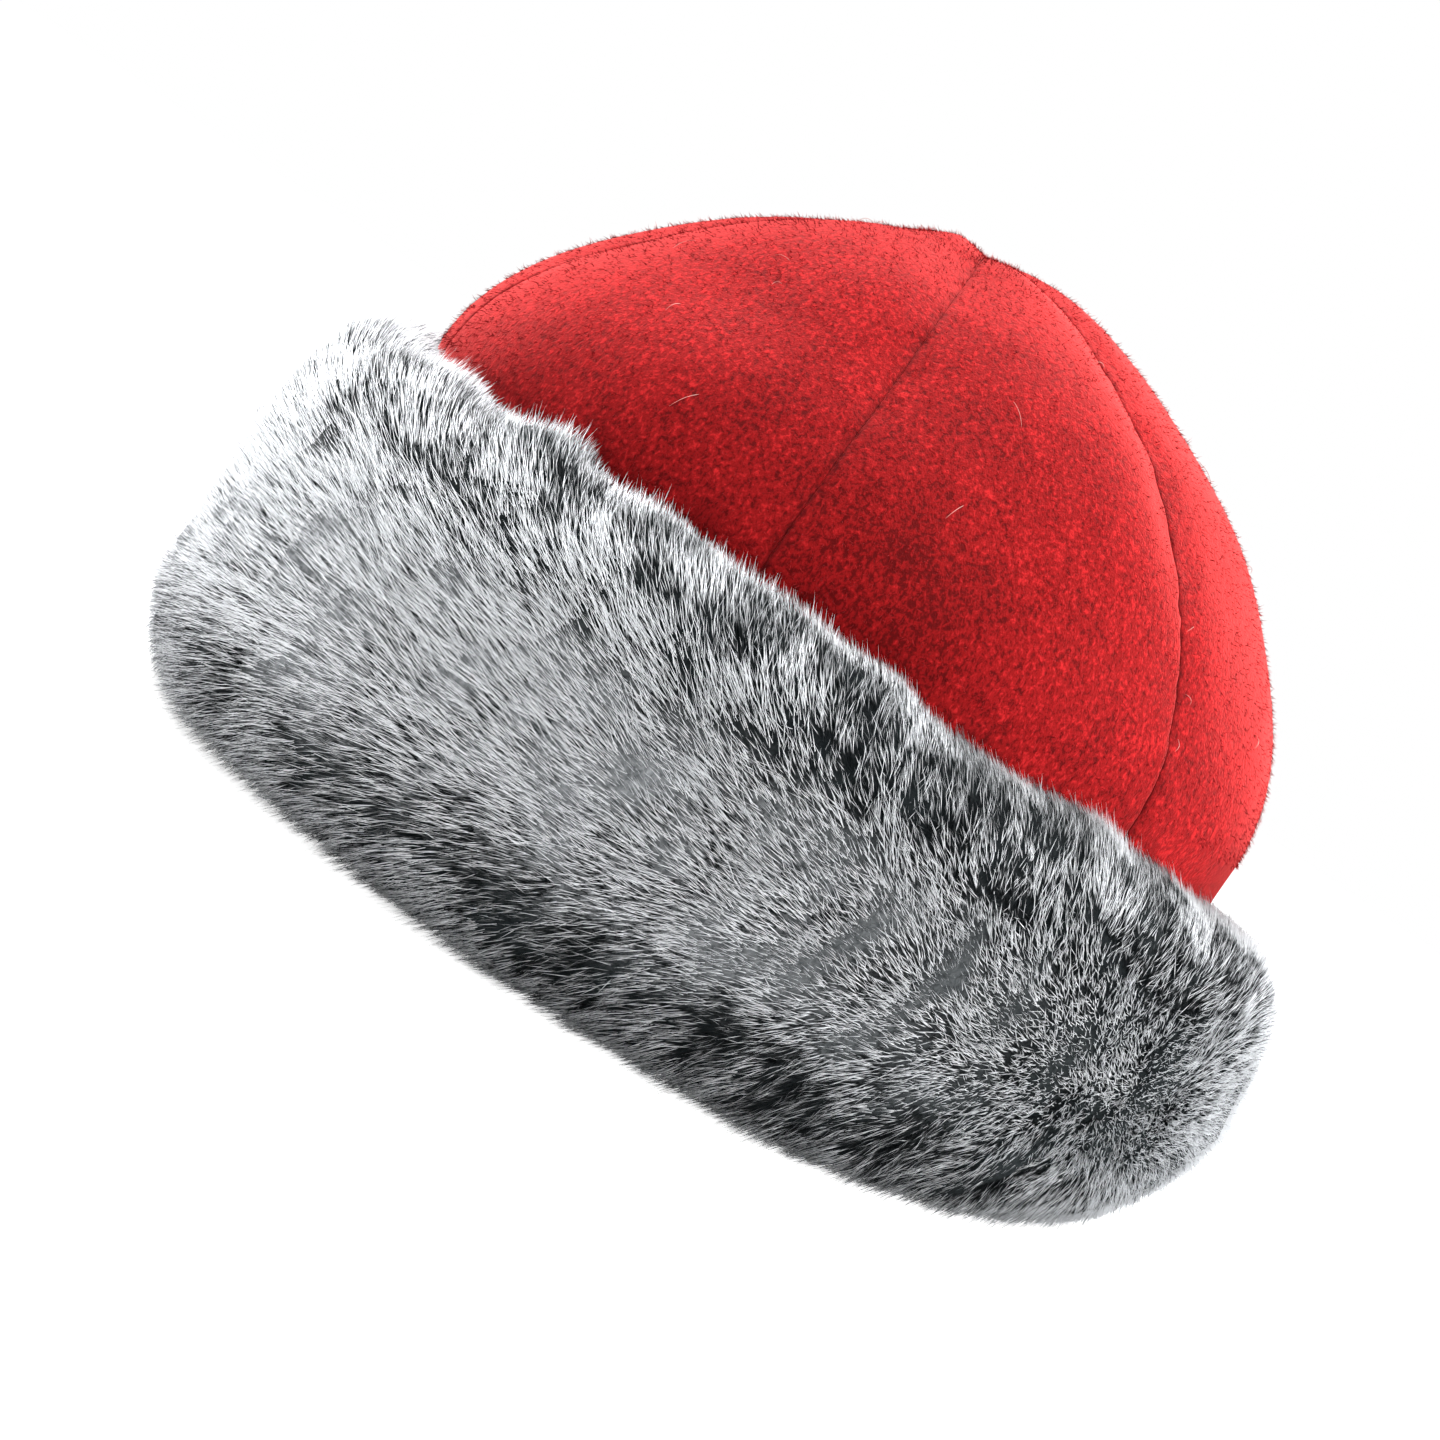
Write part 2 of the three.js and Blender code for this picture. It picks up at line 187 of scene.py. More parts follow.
def strand_mesh(
    name: str, spine: Array, width: Array, lightness: Array, taper: tuple[float, ...]
) -> bpy.types.Object:
    """Joined fibres, each a three-sided tube along its spine that ends in a point.

    A ring of three corners stands square to the spine at each step but the last: corner k is at the
    spine's place plus width times taper, at 120 k degrees round the spine's heading.

    Args:
        name: The piece's name.
        spine: Places along each fibre, as fibres by steps by three.
        width: Half width of each fibre.
        lightness: Each fibre's place across the strand map, from 0, dark, to 1, light.
        taper: The share of the width at each step but the last.

    Returns:
        The joined fibres.
    """
    fibres, steps, _ = spine.shape
    rings = steps - 1
    heading = unit(np.gradient(spine, axis=1))
    helper = np.where(np.abs(heading[..., 2:]) > 0.8, [1.0, 0.0, 0.0], [0.0, 0.0, 1.0])
    side = unit(np.cross(heading, helper))
    other = np.cross(heading, side)
    turn = np.arange(3) * 2.0 * math.pi / 3.0
    reach = width[:, None] * np.asarray(taper)[None, :]
    around = (
        side[:, :rings, None] * np.cos(turn)[None, None, :, None]
        + other[:, :rings, None] * np.sin(turn)[None, None, :, None]
    )
    tube = spine[:, :rings, None] + around * reach[..., None, None]
    points = np.concatenate([tube.reshape(fibres, rings * 3, 3), spine[:, -1:]], axis=1)

    along = np.linspace(0.0, 1.0, steps)
    across = (np.arange(3) - 1.0) / STRAND_UV_PARTS
    map_u = lightness[:, None, None] + np.broadcast_to(across, (fibres, rings, 3))
    map_v = np.broadcast_to(along[None, :rings, None], (fibres, rings, 3))
    map_points = np.stack([map_u, map_v], axis=-1).reshape(fibres, rings * 3, 2)
    map_tip = np.stack([lightness, np.ones(fibres)], axis=-1)[:, None]
    uv = np.concatenate([map_points, map_tip], axis=1)

    single = [[0, 2, 1]]
    for ring in range(rings - 1):
        for k in range(3):
            low, beside = 3 * ring + k, 3 * ring + (k + 1) % 3
            single += [[low, beside, beside + 3], [low, beside + 3, low + 3]]
    last = 3 * (rings - 1)
    single += [[last + k, last + (k + 1) % 3, 3 * rings] for k in range(3)]
    faces = np.arange(fibres)[:, None, None] * (3 * rings + 1) + np.asarray(single)[None]
    return mesh_object(name, points.reshape(-1, 3), faces.reshape(-1, 3), uv.reshape(-1, 2))


def finish_piece(piece: bpy.types.Object, material: bpy.types.Material) -> None:
    """Gives a piece its material and its body, and reports it.

    Args:
        piece: The piece.
        material: Its material.
    """
    mesh = piece.data
    mesh.materials.append(material)
    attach(piece, BODY)
    LOG.info("%s: %d triangles", piece.name, len(mesh.loops) - 2 * len(mesh.polygons))


# Shader maths and nodes


class Value:
    """An output of a shader's node, which Python's operators add Math nodes to."""

    def __init__(self, nodes: "Nodes", socket: bpy.types.NodeSocket) -> None:
        """Wraps a socket of a node tree."""
        self.nodes = nodes
        self.socket = socket

    def also(self, name: str) -> "Value":
        """Another output of the same node."""
        return Value(self.nodes, self.socket.node.outputs[name])

    def _math(self, operation: str, *terms: Any) -> "Value":
        """A Math node of the terms."""
        return self.nodes.add("ShaderNodeMath", {"operation": operation}, dict(enumerate(terms)))

    def __add__(self, other: Any) -> "Value":
        """This value plus another."""
        return self._math("ADD", self, other)

    def __radd__(self, other: Any) -> "Value":
        """Another value plus this one."""
        return self._math("ADD", other, self)

    def __sub__(self, other: Any) -> "Value":
        """This value less another."""
        return self._math("SUBTRACT", self, other)

    def __rsub__(self, other: Any) -> "Value":
        """Another value less this one."""
        return self._math("SUBTRACT", other, self)

    def __mul__(self, other: Any) -> "Value":
        """This value times another."""
        return self._math("MULTIPLY", self, other)


class Nodes:
    """The node tree of a material or a world, built up node by node."""

    def __init__(self, owner: bpy.types.Material | bpy.types.World, output: str) -> None:
        """Clears the owner's tree and gives it an output node of this type."""
        owner.use_nodes = True
        self.owner = owner
        self.tree = owner.node_tree
        self.tree.nodes.clear()
        self.output = self.tree.nodes.new(output)

    @classmethod
    def of_material(cls, name: str) -> "Nodes":
        """The node tree of a new material."""
        return cls(bpy.data.materials.new(name), "ShaderNodeOutputMaterial")

    def add(
        self,
        kind: str,
        settings: dict[str, Any] | None = None,
        inputs: dict[Any, Any] | None = None,
        out: Any = 0,
    ) -> Value:
        """Adds a node.

        Args:
            kind: The node's type.
            settings: Its own settings, which are set first.
            inputs: Values or links by socket name or number.
            out: Which of its outputs is wanted.

        Returns:
            That output.
        """
        node = self.tree.nodes.new(kind)
        for key, value in (settings or {}).items():
            setattr(node, key, value)
        for key, value in (inputs or {}).items():
            if isinstance(value, Value):
                self.tree.links.new(value.socket, node.inputs[key])
            else:
                node.inputs[key].default_value = value
        return Value(self, node.outputs[out])

    def ramp(
        self, factor: Value, places: tuple[float, ...], colours: tuple[Colour, ...], ease: str = "LINEAR"
    ) -> Value:
        """A colour that runs through others as the factor rises.

        Args:
            factor: The number to read.
            places: Where each colour stands, in order.
            colours: The colours.
            ease: How it runs between them.

        Returns:
            The colour.
        """
        made = self.add("ShaderNodeValToRGB", {}, {"Fac": factor})
        ramp = made.socket.node.color_ramp
        ramp.interpolation = ease
        while len(ramp.elements) < len(places):
            ramp.elements.new(0.5)
        for element, place, colour in zip(ramp.elements, places, colours, strict=True):
            element.position = place
            element.color = (*colour, 1.0)
        return made

    def mix(self, factor: Any, low: Any, high: Any) -> Value:
        """A colour between low, where the factor is 0, and high, where it is 1."""
        return self.add("ShaderNodeMix", {"data_type": "RGBA"}, {0: factor, 6: low, 7: high}, out=2)

    def step(self, value: Value, low: Any, high: Any) -> Value:
        """A smooth step from 0 where the value is low to 1 where it is high."""
        ends = {"Value": value, "From Min": low, "From Max": high}
        return self.add("ShaderNodeMapRange", {"interpolation_type": "SMOOTHSTEP", "clamp": True}, ends)

    def noise(self, place: Value, scale: float, detail: float, rough: float, warp: float = 0.0) -> Value:
        """A noise from 0 to 1.

        Args:
            place: The coordinates to read.
            scale: Bumps per metre.
            detail: How many finer layers it has.
            rough: How strong they are.
            warp: How far it is twisted.

        Returns:
            The noise.
        """
        sizes = {"Vector": place, "Scale": scale, "Detail": detail, "Roughness": rough, "Distortion": warp}
        return self.add("ShaderNodeTexNoise", {"noise_dimensions": "3D"}, sizes)

    def close(self, shader: Value) -> Any:
        """Links the shader to the output, and gives the material or world back."""
        self.tree.links.new(shader.socket, self.output.inputs["Surface"])
        return self.owner

    def finish(self, inputs: dict[str, Any]) -> bpy.types.Material:
        """Adds the surface shader with these inputs, and gives the material back."""
        return self.close(self.add("ShaderNodeBsdfPrincipled", {}, inputs))


# Finishes


@dataclass(frozen=True)
class FeltedWool:
    """Red felted wool: mottled from dark to bright, matt, with a soft sheen at grazing angles. Painted shade
    darkens it along its seams and stitches, and a little round one place low on the near side."""

    dark: Colour = (0.062, 0.0009, 0.0014)
    middle: Colour = (0.166, 0.0031, 0.0038)
    bright: Colour = (0.335, 0.0094, 0.0104)
    # The colour of the painted shade along the seams.
    seam_shade: Colour = (0.018, 0.0006, 0.0008)
    sheen: Colour = (1.0, 0.115, 0.110)
    tones: tuple[float, float, float] = (0.34, 0.5, 0.66)
    drawn_out: Place = (1.0, 1.0, 0.72)
    mottle_per_m: float = 1050.0
    cloud_per_m: float = 55.0
    grain_per_m: float = 2600.0
    stitch_per_m: float = 420.0
    # A soft round patch of painted shade, low on the near side: its centre, its reach and how much darker it
    # makes the wool.
    painted_shade_at: Place = (-0.030, -0.076, 0.100)
    painted_shade_reach: float = 0.040
    painted_shade_dark: float = 0.075
    # How strongly painted shade darkens the seams, and the stitch marks along them more.
    seam_dark: float = 0.18
    stitch_dark: float = 0.50
    bump: float = 0.55
    bump_height: float = 0.0006

    def material(self) -> bpy.types.Material:
        """The cloth's material, on Object coordinates.

        Returns:
            The material.
        """
        nodes = Nodes.of_material("felted_wool")
        place = nodes.add("ShaderNodeTexCoord", out="Object")
        drawn = nodes.add("ShaderNodeMapping", {}, {"Vector": place, "Scale": self.drawn_out})
        mottle = nodes.noise(drawn, self.mottle_per_m, 3.0, 0.62, 0.4)
        cloud = nodes.noise(place, self.cloud_per_m, 2.0, 0.5)
        grain = nodes.noise(drawn, self.grain_per_m, 2.0, 0.6)
        # Painted shade: the tone falls a little round one place low on the near side.
        ends = {0: place, 1: self.painted_shade_at}
        away = nodes.add("ShaderNodeVectorMath", {"operation": "DISTANCE"}, ends, out="Value")
        painted_shade = nodes.step(away, self.painted_shade_reach, 0.0)
        tone = mottle * 0.78 + cloud * 0.22 + (grain - 0.5) * 0.24 - painted_shade * self.painted_shade_dark
        cloth = nodes.ramp(tone, self.tones, (self.dark, self.middle, self.bright), "EASE")
        # Painted shade along the seams: the seam attribute, darker still at noisy stitch marks, draws the
        # cloth towards a near-black red.
        seam = nodes.add("ShaderNodeAttribute", {"attribute_name": SEAM_ATTRIBUTE}, out="Fac")
        stitch = nodes.step(nodes.noise(place, self.stitch_per_m, 1.0, 0.5), 0.25, 0.6)
        turned = seam * (stitch * self.stitch_dark + self.seam_dark)
        height = mottle * 0.55 + grain * 0.45
        relief = {"Strength": self.bump, "Distance": self.bump_height, "Height": height}
        return nodes.finish(
            {
                "Base Color": nodes.mix(turned, cloth, (*self.seam_shade, 1.0)),
                "Roughness": 0.94,
                "Specular IOR Level": 0.06,
                "Sheen Weight": 1.0,
                "Sheen Roughness": 0.38,
                "Sheen Tint": (*self.sheen, 1.0),
                "Normal": nodes.add("ShaderNodeBump", {}, relief),
            }
        )


@dataclass(frozen=True)
class StrandFinish:
    """A fibre that runs from a root colour to a tip colour, by its place on the strand map.

    The map's u is its lightness. Up to light_from the tip itself grows lighter. The tip colour starts at
    turn_from along the fibre, or later by up to root_spread where the fibre is dark, and it is full
    turn_over further on.
    """

    name: str
    root: Colour
    tip_dark: Colour
    tip_light: Colour
    light_from: float
    turn_over: float
    root_spread: float
    roughness: float
    turn_from: float = 0.0
    specular: float = 0.08

    def material(self) -> bpy.types.Material:
        """The fibres' material: the map's u sets the lightness, and v runs from root to tip.

        Returns:
            The material.
        """
        nodes = Nodes.of_material(self.name)
        place = nodes.add("ShaderNodeUVMap", {"uv_map": STRAND_UV})
        across = nodes.add("ShaderNodeSeparateXYZ", {}, {0: place}, out="X")
        grown = nodes.step(across, 0.0, self.light_from)
        tip = nodes.mix(grown, (*self.tip_dark, 1.0), (*self.tip_light, 1.0))
        start = self.turn_from + (1.0 - across) * self.root_spread
        share = nodes.step(across.also("Y"), start, start + self.turn_over)
        colour = nodes.mix(share, (*self.root, 1.0), tip)
        return nodes.finish(
            {"Base Color": colour, "Roughness": self.roughness, "Specular IOR Level": self.specular}
        )


@dataclass(frozen=True)
class Underfur:
    """The dense underfur that shows between the strands: grey round the middle of the cuff in front, and
    dark at the back and towards its top and foot, as painted light and shade."""

    dark: Colour = (0.003, 0.005, 0.006)
    edge_light: Colour = (0.010, 0.013, 0.014)
    back_light: Colour = (0.014, 0.018, 0.019)
    front_dark: Colour = (0.080, 0.087, 0.091)
    front_light: Colour = (0.25, 0.26, 0.27)
    tones: tuple[float, float] = (0.35, 0.68)
    tuft_per_m: float = 800.0
    back_end: float = 0.055
    front_end: float = -0.095
    foot_band: tuple[float, float] = (0.014, 0.030)
    top_band: tuple[float, float] = (0.066, 0.052)
    bump: float = 0.9
    bump_height: float = 0.0015

    def material(self) -> bpy.types.Material:
        """The underfur's material, on Object coordinates.

        Returns:
            The material.
        """
        nodes = Nodes.of_material("underfur")
        place = nodes.add("ShaderNodeTexCoord", out="Object")
        tuft = nodes.noise(place, self.tuft_per_m, 4.0, 0.65, 0.5)
        length_way = nodes.add("ShaderNodeSeparateXYZ", {}, {0: place}, out="X")
        height = length_way.also("Z")
        # Painted light and shade: the underfur is lighter in the middle of the front and dark at the back,
        # top and foot.
        forward = nodes.step(length_way, self.back_end, self.front_end)
        middle = nodes.step(height, *self.foot_band) * nodes.step(height, *self.top_band)
        edge = nodes.ramp(tuft, self.tones, (self.dark, self.edge_light))
        behind = nodes.ramp(tuft, self.tones, (self.dark, self.back_light))
        ahead = nodes.ramp(tuft, self.tones, (self.front_dark, self.front_light))
        relief = {"Strength": self.bump, "Distance": self.bump_height, "Height": tuft}
        return nodes.finish(
            {
                "Base Color": nodes.mix(middle, edge, nodes.mix(forward, behind, ahead)),
                "Roughness": 0.95,
                "Specular IOR Level": 0.1,
                "Normal": nodes.add("ShaderNodeBump", {}, relief),
            }
        )


FUR_STRAND = StrandFinish(
    name="fur_strands",
    root=(0.005, 0.007, 0.008),
    tip_dark=(0.012, 0.015, 0.016),
    tip_light=(0.625, 0.64, 0.66),
    light_from=0.34,
    turn_over=0.28,
    root_spread=0.57,
    roughness=0.6,
)
WOOL_NAP = StrandFinish(
    name="wool_nap",
    root=(0.11, 0.0016, 0.0022),
    tip_dark=(0.10, 0.0016, 0.0022),
    tip_light=(0.30, 0.012, 0.012),
    light_from=1.0,
    turn_over=0.6,
    root_spread=0.2,
    roughness=0.9,
)
STRAY_HAIR = StrandFinish(
    name="stray_hairs",
    root=(0.40, 0.14, 0.12),
    tip_dark=(0.36, 0.14, 0.12),
    tip_light=(0.62, 0.40, 0.36),
    light_from=1.0,
    turn_over=0.5,
    root_spread=0.2,
    roughness=0.6,
)


# Crown


@dataclass(frozen=True)
class Gore:
    """One panel of the crown, between two seams whose angles are in degrees."""

    name: str
    seam: float
    next_seam: float


@dataclass(frozen=True)
class Dent:
    """A soft dent in the wool, or a bulge where its depth is negative. Its angle and reach round the hat
    are in degrees."""

    angle: float
    height: float
    reach: float
    reach_up: float
    depth: float


@dataclass
class Crown:
    """Six gores of felted wool: an upright oval wall that closes over in a dome."""

    half_length: float = 0.101
    half_width: float = 0.083
    top: float = 0.1655
    dome_start: float = 0.088
    dome_power: float = 1.65
    lean: float = -0.004
    hem: float = 0.0025
    rear_lift: float = 0.0075
    thickness: float = 0.0022
    gores: tuple[Gore, ...] = (
        Gore("right_back", 0.0, 63.5),
        Gore("right_side", 63.5, 116.5),
        Gore("right_front", 116.5, 180.0),
        Gore("left_front", 180.0, 243.5),
        Gore("left_side", 243.5, 296.5),
        Gore("left_back", 296.5, 360.0),
    )
    junction_shift: float = -0.014
    seam_gap: float = 0.00004
    seam_depth: float = 0.0010
    seam_reach: float = 0.005
    crease_depth: float = 0.0004
    crease_reach: float = 0.0004
    # seam_dark: how far from a seam the painted seam shade reaches.
    seam_dark: float = 0.0006
    stitches: Ripple = Ripple(0.25, 0.0022, 4)
    gathers: Ripple = Ripple(0.00022, 0.0045, 5)
    gather_reach: float = 0.004
    sags: Ripple = Ripple(0.00035, 0.020, 6)
    puff: float = 0.0019
    shaping_starts: float = 0.070
    shaping_full: float = 0.155
    dents: tuple[Dent, ...] = (
        Dent(angle=214.0, height=0.128, reach=17.0, reach_up=0.012, depth=0.0024),
        Dent(angle=232.0, height=0.142, reach=12.0, reach_up=0.009, depth=-0.0012),
        Dent(angle=262.0, height=0.120, reach=14.0, reach_up=0.018, depth=0.0013),
        Dent(angle=285.0, height=0.132, reach=9.0, reach_up=0.016, depth=-0.0013),
        Dent(angle=318.0, height=0.124, reach=15.0, reach_up=0.014, depth=0.0009),
        Dent(angle=82.0, height=0.126, reach=18.0, reach_up=0.014, depth=0.0019),
        Dent(angle=150.0, height=0.136, reach=14.0, reach_up=0.012, depth=0.0015),
        Dent(angle=190.0, height=0.161, reach=60.0, reach_up=0.0022, depth=-0.0018),
    )
    columns: int = 45
    wall_rows: int = 6
    dome_rows: int = 54
    pole_stop: float = 0.995
    nap_fibres: int = 26000
    nap_length: tuple[float, float] = (0.0007, 0.0017)
    nap_half_width: float = 0.00010
    nap_sink: float = 0.0002
    nap_light: Ripple = Ripple(0.28, 0.0016, 73)
    strays: int = 44
    stray_length: tuple[float, float] = (0.002, 0.006)
    stray_half_width: float = 0.00005
    stray_steps: int = 9
    stray_above: float = 0.012
    centre: Array = field(default_factory=lambda: np.zeros(3))

    def place_on_frame(self) -> None:
        """Reads the rim's centre from the corners of the frame's wool panels on their upright wall."""
        corners = []
        for gore in self.gores:
            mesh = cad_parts[f"crown_panel_{gore.name}"].data
            points = np.empty(len(mesh.vertices) * 3, dtype=np.float32)
            mesh.vertices.foreach_get("co", points)
            corners.append(points.reshape(-1, 3))
        points = np.concatenate(corners)
        rim = points[points[:, 2] < self.dome_start / 2.0]
        self.centre = np.array([*(rim.min(axis=0) + rim.max(axis=0))[:2] / 2.0, 0.0])

    def rim_lift(self, angle: Array) -> Array:
        """How far the rim stands off the floor: most at the back, not at all from the sides forward."""
        return self.rear_lift * np.maximum(np.cos(angle), 0.0) ** 2

    def rim_oval(self, angle: Array) -> tuple[Array, Array]:
        """The rim's oval in plan, about its own centre, and its outward normals: (x/a^2, y/b^2) made unit.

        Args:
            angle: Angle round the crown.

        Returns:
            Places at z = 0, and level normals.
        """
        x, y = self.half_length * np.cos(angle), self.half_width * np.sin(angle)
        level = 0.0 * x
        normal = np.stack([x / self.half_length**2, y / self.half_width**2, level], axis=-1)
        return np.stack([x, y, level], axis=-1), unit(normal)

    def face(self, angle: Array, scale: Array, wall: Array) -> tuple[Array, Array]:
        """The smooth outer face, before seams and dents.

        In plan it is an oval shrunk by scale towards the junction. The dome's height comes from where a
        point lies in plan, by a superellipse: reach^p + rise^p = 1.

        Args:
            angle: Angle round the crown.
            scale: Share of the rim's size left, 1 on the wall and 0 at the junction.
            wall: Height on the wall, where scale is 1.

        Returns:
            Places and outward normals.
        """
        x = self.half_length * scale * np.cos(angle) + self.junction_shift * (1.0 - scale)
        y = self.half_width * scale * np.sin(angle)
        reach = np.clip(np.hypot(x / self.half_length, y / self.half_width), 1e-6, 1.0)
        rise = np.where(scale < 1.0, (1.0 - reach**self.dome_power) ** (1.0 / self.dome_power), 0.0)
        pull = reach ** (self.dome_power - 2.0)
        rise_height = self.top - self.dome_start
        normal = np.stack(
            [
                pull * x / self.half_length**2,
                pull * y / self.half_width**2,
                rise ** (self.dome_power - 1.0) / rise_height,
            ],
            axis=-1,
        )
        towards_hem = (self.dome_start - wall) / (self.dome_start - self.hem)
        upright = wall + self.rim_lift(angle) * towards_hem
        z = np.where(scale < 1.0, self.dome_start + rise_height * rise, upright)
        return np.stack([x + self.lean * rise**4, y, z], axis=-1), unit(normal)

    def to_seam(self, share: Array, wide: Array, scale: Array) -> Array:
        """How far a place is from the nearer seam of its panel, of which share has been crossed."""
        return np.minimum(share, 1.0 - share) * wide * scale * self.half_width

    def relief(self, share: Array, wide: Array, scale: Array, angle: Array, point: Array) -> Array:
        """How far the wool stands proud of the smooth face.

        A panel puffs by a half sine between its seams and sinks at them, by a wide soft groove and a
        sharp crease, exp(-d/reach), that is deeper at its stitches and gathered beside them. Dents are
        Gaussian, and the cloth sags in a low smooth field.

        Args:
            share: Share of the way across the panel.
            wide: The panel's extent in radians.
            scale: Share of the rim's size left.
            angle: Angle round the crown.
            point: Places on the smooth face.

        Returns:
            Distances along the normal.
        """
        height = point[..., 2]
        to_seam = self.to_seam(share, wide, scale)
        groove = self.seam_depth * np.exp(-((to_seam / self.seam_reach) ** 2))
        stitched = self.crease_depth * (1.0 - self.stitches.strength + self.stitches.at(point))
        crease = stitched * np.exp(-to_seam / self.crease_reach)
        puff = self.puff * np.sin(math.pi * share) * np.sqrt(scale)
        dented = np.zeros_like(height)
        for dent in self.dents:
            across = turn_from(angle, dent.angle) / math.radians(dent.reach)
            dented += dent.depth * np.exp(-(across**2) - ((height - dent.height) / dent.reach_up) ** 2)
        gathered = self.gathers.at(point) * np.exp(-to_seam / self.gather_reach)
        sagged = self.sags.at(point) * smooth_step(scale, 0.02, 0.3)
        shaping = smooth_step(height, self.shaping_starts, self.shaping_full)
        return shaping * (puff - groove) - dented - crease + gathered + sagged

    def rows(self) -> tuple[Array, Array]:
        """The rows from hem to junction.

        Returns:
            The share of the rim's size left in each row, and its height on the wall.
        """
        wall = np.linspace(self.hem, self.dome_start, self.wall_rows, endpoint=False)
        turn = np.linspace(0.0, self.pole_stop * math.pi / 2.0, self.dome_rows)
        scale = np.concatenate([np.ones(self.wall_rows), np.cos(turn) ** (2.0 / self.dome_power)])
        heights = np.concatenate([wall, np.full(self.dome_rows, self.dome_start)])
        return scale[:, None], heights[:, None]

    def surface(
        self, angle: Array, share: Array, wide: Array, scale: Array, wall: Array
    ) -> tuple[Array, Array]:
        """The finished outer face in the frame.

        Args:
            angle: Angle round the crown.
            share: Share of the way across the panel.
            wide: The panel's extent in radians.
            scale: Share of the rim's size left.
            wall: Height on the wall.

        Returns:
            Places and outward normals.
        """
        point, normal = self.face(angle, scale, wall)
        lifted = point + normal * self.relief(share, wide, scale, angle, point)[..., None]
        return lifted + self.centre, normal

    def panel(self, gore: Gore) -> bpy.types.Object:
        """One gore: an outer and an inner grid closed along their edges.

        Args:
            gore: Which gore.

        Returns:
            The gore as a closed piece.
        """
        scale, wall = self.rows()
        share = (1.0 - np.cos(np.linspace(0.0, math.pi, self.columns)))[None, :] / 2.0
        first, wide = math.radians(gore.seam), math.radians(gore.next_seam - gore.seam)
        gap = self.seam_gap / (np.maximum(scale, 0.02) * self.half_width)
        angle = first + gap + share * (wide - 2.0 * gap)
        scale, wall, share = np.broadcast_arrays(scale, wall, share)
        outer, normal = self.surface(angle, share, wide, scale, wall)
        inner = outer - normal * self.thickness
        rows, columns = angle.shape
        count = rows * columns
        points = np.concatenate([outer.reshape(-1, 3), inner.reshape(-1, 3)])
        edge = np.concatenate(
            [
                np.arange(columns),
                np.arange(1, rows) * columns + columns - 1,
                (rows - 1) * columns + np.arange(columns - 2, -1, -1),
                np.arange(rows - 2, 0, -1) * columns,
            ]
        )
        beside = np.roll(edge, -1)
        rim = np.stack([edge, edge + count, beside + count, beside], axis=-1)
        faces = np.concatenate([grid_faces(rows, columns), grid_faces(rows, columns, count, flip=True), rim])
        piece = mesh_object(f"wool_panel_{gore.name}", points, faces)
        # The seam attribute holds the painted seam shade, falling off away from each seam.
        darkness = np.exp(-self.to_seam(share, wide, scale) / self.seam_dark).ravel()
        seam = piece.data.attributes.new(SEAM_ATTRIBUTE, "FLOAT", "POINT")
        seam.data.foreach_set("value", np.tile(darkness, 2).astype(np.float32))
        return piece

    def scatter(self, count: int, seed: int, low: float) -> tuple[Array, Array, Array, Array]:
        """Random places on the finished face, even in plan and fuller where it is steep.

        Args:
            count: How many places, before those that lie too low are left out.
            seed: Which set of places.
            low: The lowest height wanted.

        Returns:
            Places, normals, and unit headings down the face and round it.
        """
        rng = np.random.default_rng(seed)
        tries = 3 * count
        turn = rng.uniform(0.0, math.pi / 2.0, tries)
        turn = turn[rng.uniform(0.0, 1.0, tries) < 0.25 + 0.75 * np.cos(turn)][:count]
        angle = rng.uniform(0.0, 2.0 * math.pi, len(turn))
        scale = np.cos(turn) ** (2.0 / self.dome_power)
        first = np.radians([gore.seam for gore in self.gores])
        last = np.radians([gore.next_seam for gore in self.gores])
        own = np.searchsorted(last, angle, side="right") % len(self.gores)
        wide = last[own] - first[own]
        wall = np.full(len(turn), self.dome_start)
        point, normal = self.surface(angle, (angle - first[own]) / wide, wide, scale, wall)
        keep = point[:, 2] > low
        point, normal = point[keep], normal[keep]
        round_way = unit(np.cross(UP, normal))
        return point, normal, np.cross(round_way, normal), round_way

    def nap(self) -> bpy.types.Object:
        """Short wool fibres that lie down the face and soften its outline.

        Returns:
            The fibres as one piece.
        """
        rng = np.random.default_rng(71)
        point, normal, down, round_way = self.scatter(self.nap_fibres, 72, self.dome_start)
        count = len(point)
        heading = unit(
            down * rng.normal(0.75, 0.45, (count, 1))
            + round_way * rng.normal(0.0, 0.6, (count, 1))
            + normal * rng.uniform(0.25, 0.8, (count, 1))
        )
        length = rng.uniform(*self.nap_length, (count, 1))
        spine = np.stack([point - normal * self.nap_sink, point + heading * length], axis=1)
        light = np.clip(0.5 + self.nap_light.at(point) + rng.normal(0.0, 0.16, count), 0.02, 0.98)
        return strand_mesh("wool_nap", spine, np.full(count, self.nap_half_width), light, (1.0,))

    def stray_hairs(self) -> bpy.types.Object:
        """A few pale curved hairs that cling to the wool, each an arc that humps up a little.

        Returns:
            The hairs as one piece.
        """
        rng = np.random.default_rng(81)
        low = self.dome_start + self.stray_above
        point, normal, down, round_way = self.scatter(self.strays, 82, low)
        count = len(point)
        way = rng.uniform(0.0, 2.0 * math.pi, (count, 1))
        heading = down * np.cos(way) + round_way * np.sin(way)
        aside = np.cross(normal, heading)
        length = rng.uniform(*self.stray_length, (count, 1))
        curl = rng.normal(0.0, 0.22, (count, 1))
        share = np.linspace(0.0, 1.0, self.stray_steps)[None, :, None]
        hump = 0.0003 + 0.0006 * np.sin(math.pi * share) - 0.07 * length[:, None] * share**2
        spine = (
            point[:, None]
            + heading[:, None] * (length[:, None] * share)
            + aside[:, None] * (length * curl)[:, None] * share**2
            + normal[:, None] * hump
        )
        width = np.full(count, self.stray_half_width)
        taper = (0.8, *(1.0,) * (self.stray_steps - 3), 0.8)
        return strand_mesh("stray_hairs", spine, width, rng.uniform(0.1, 0.9, count), taper)

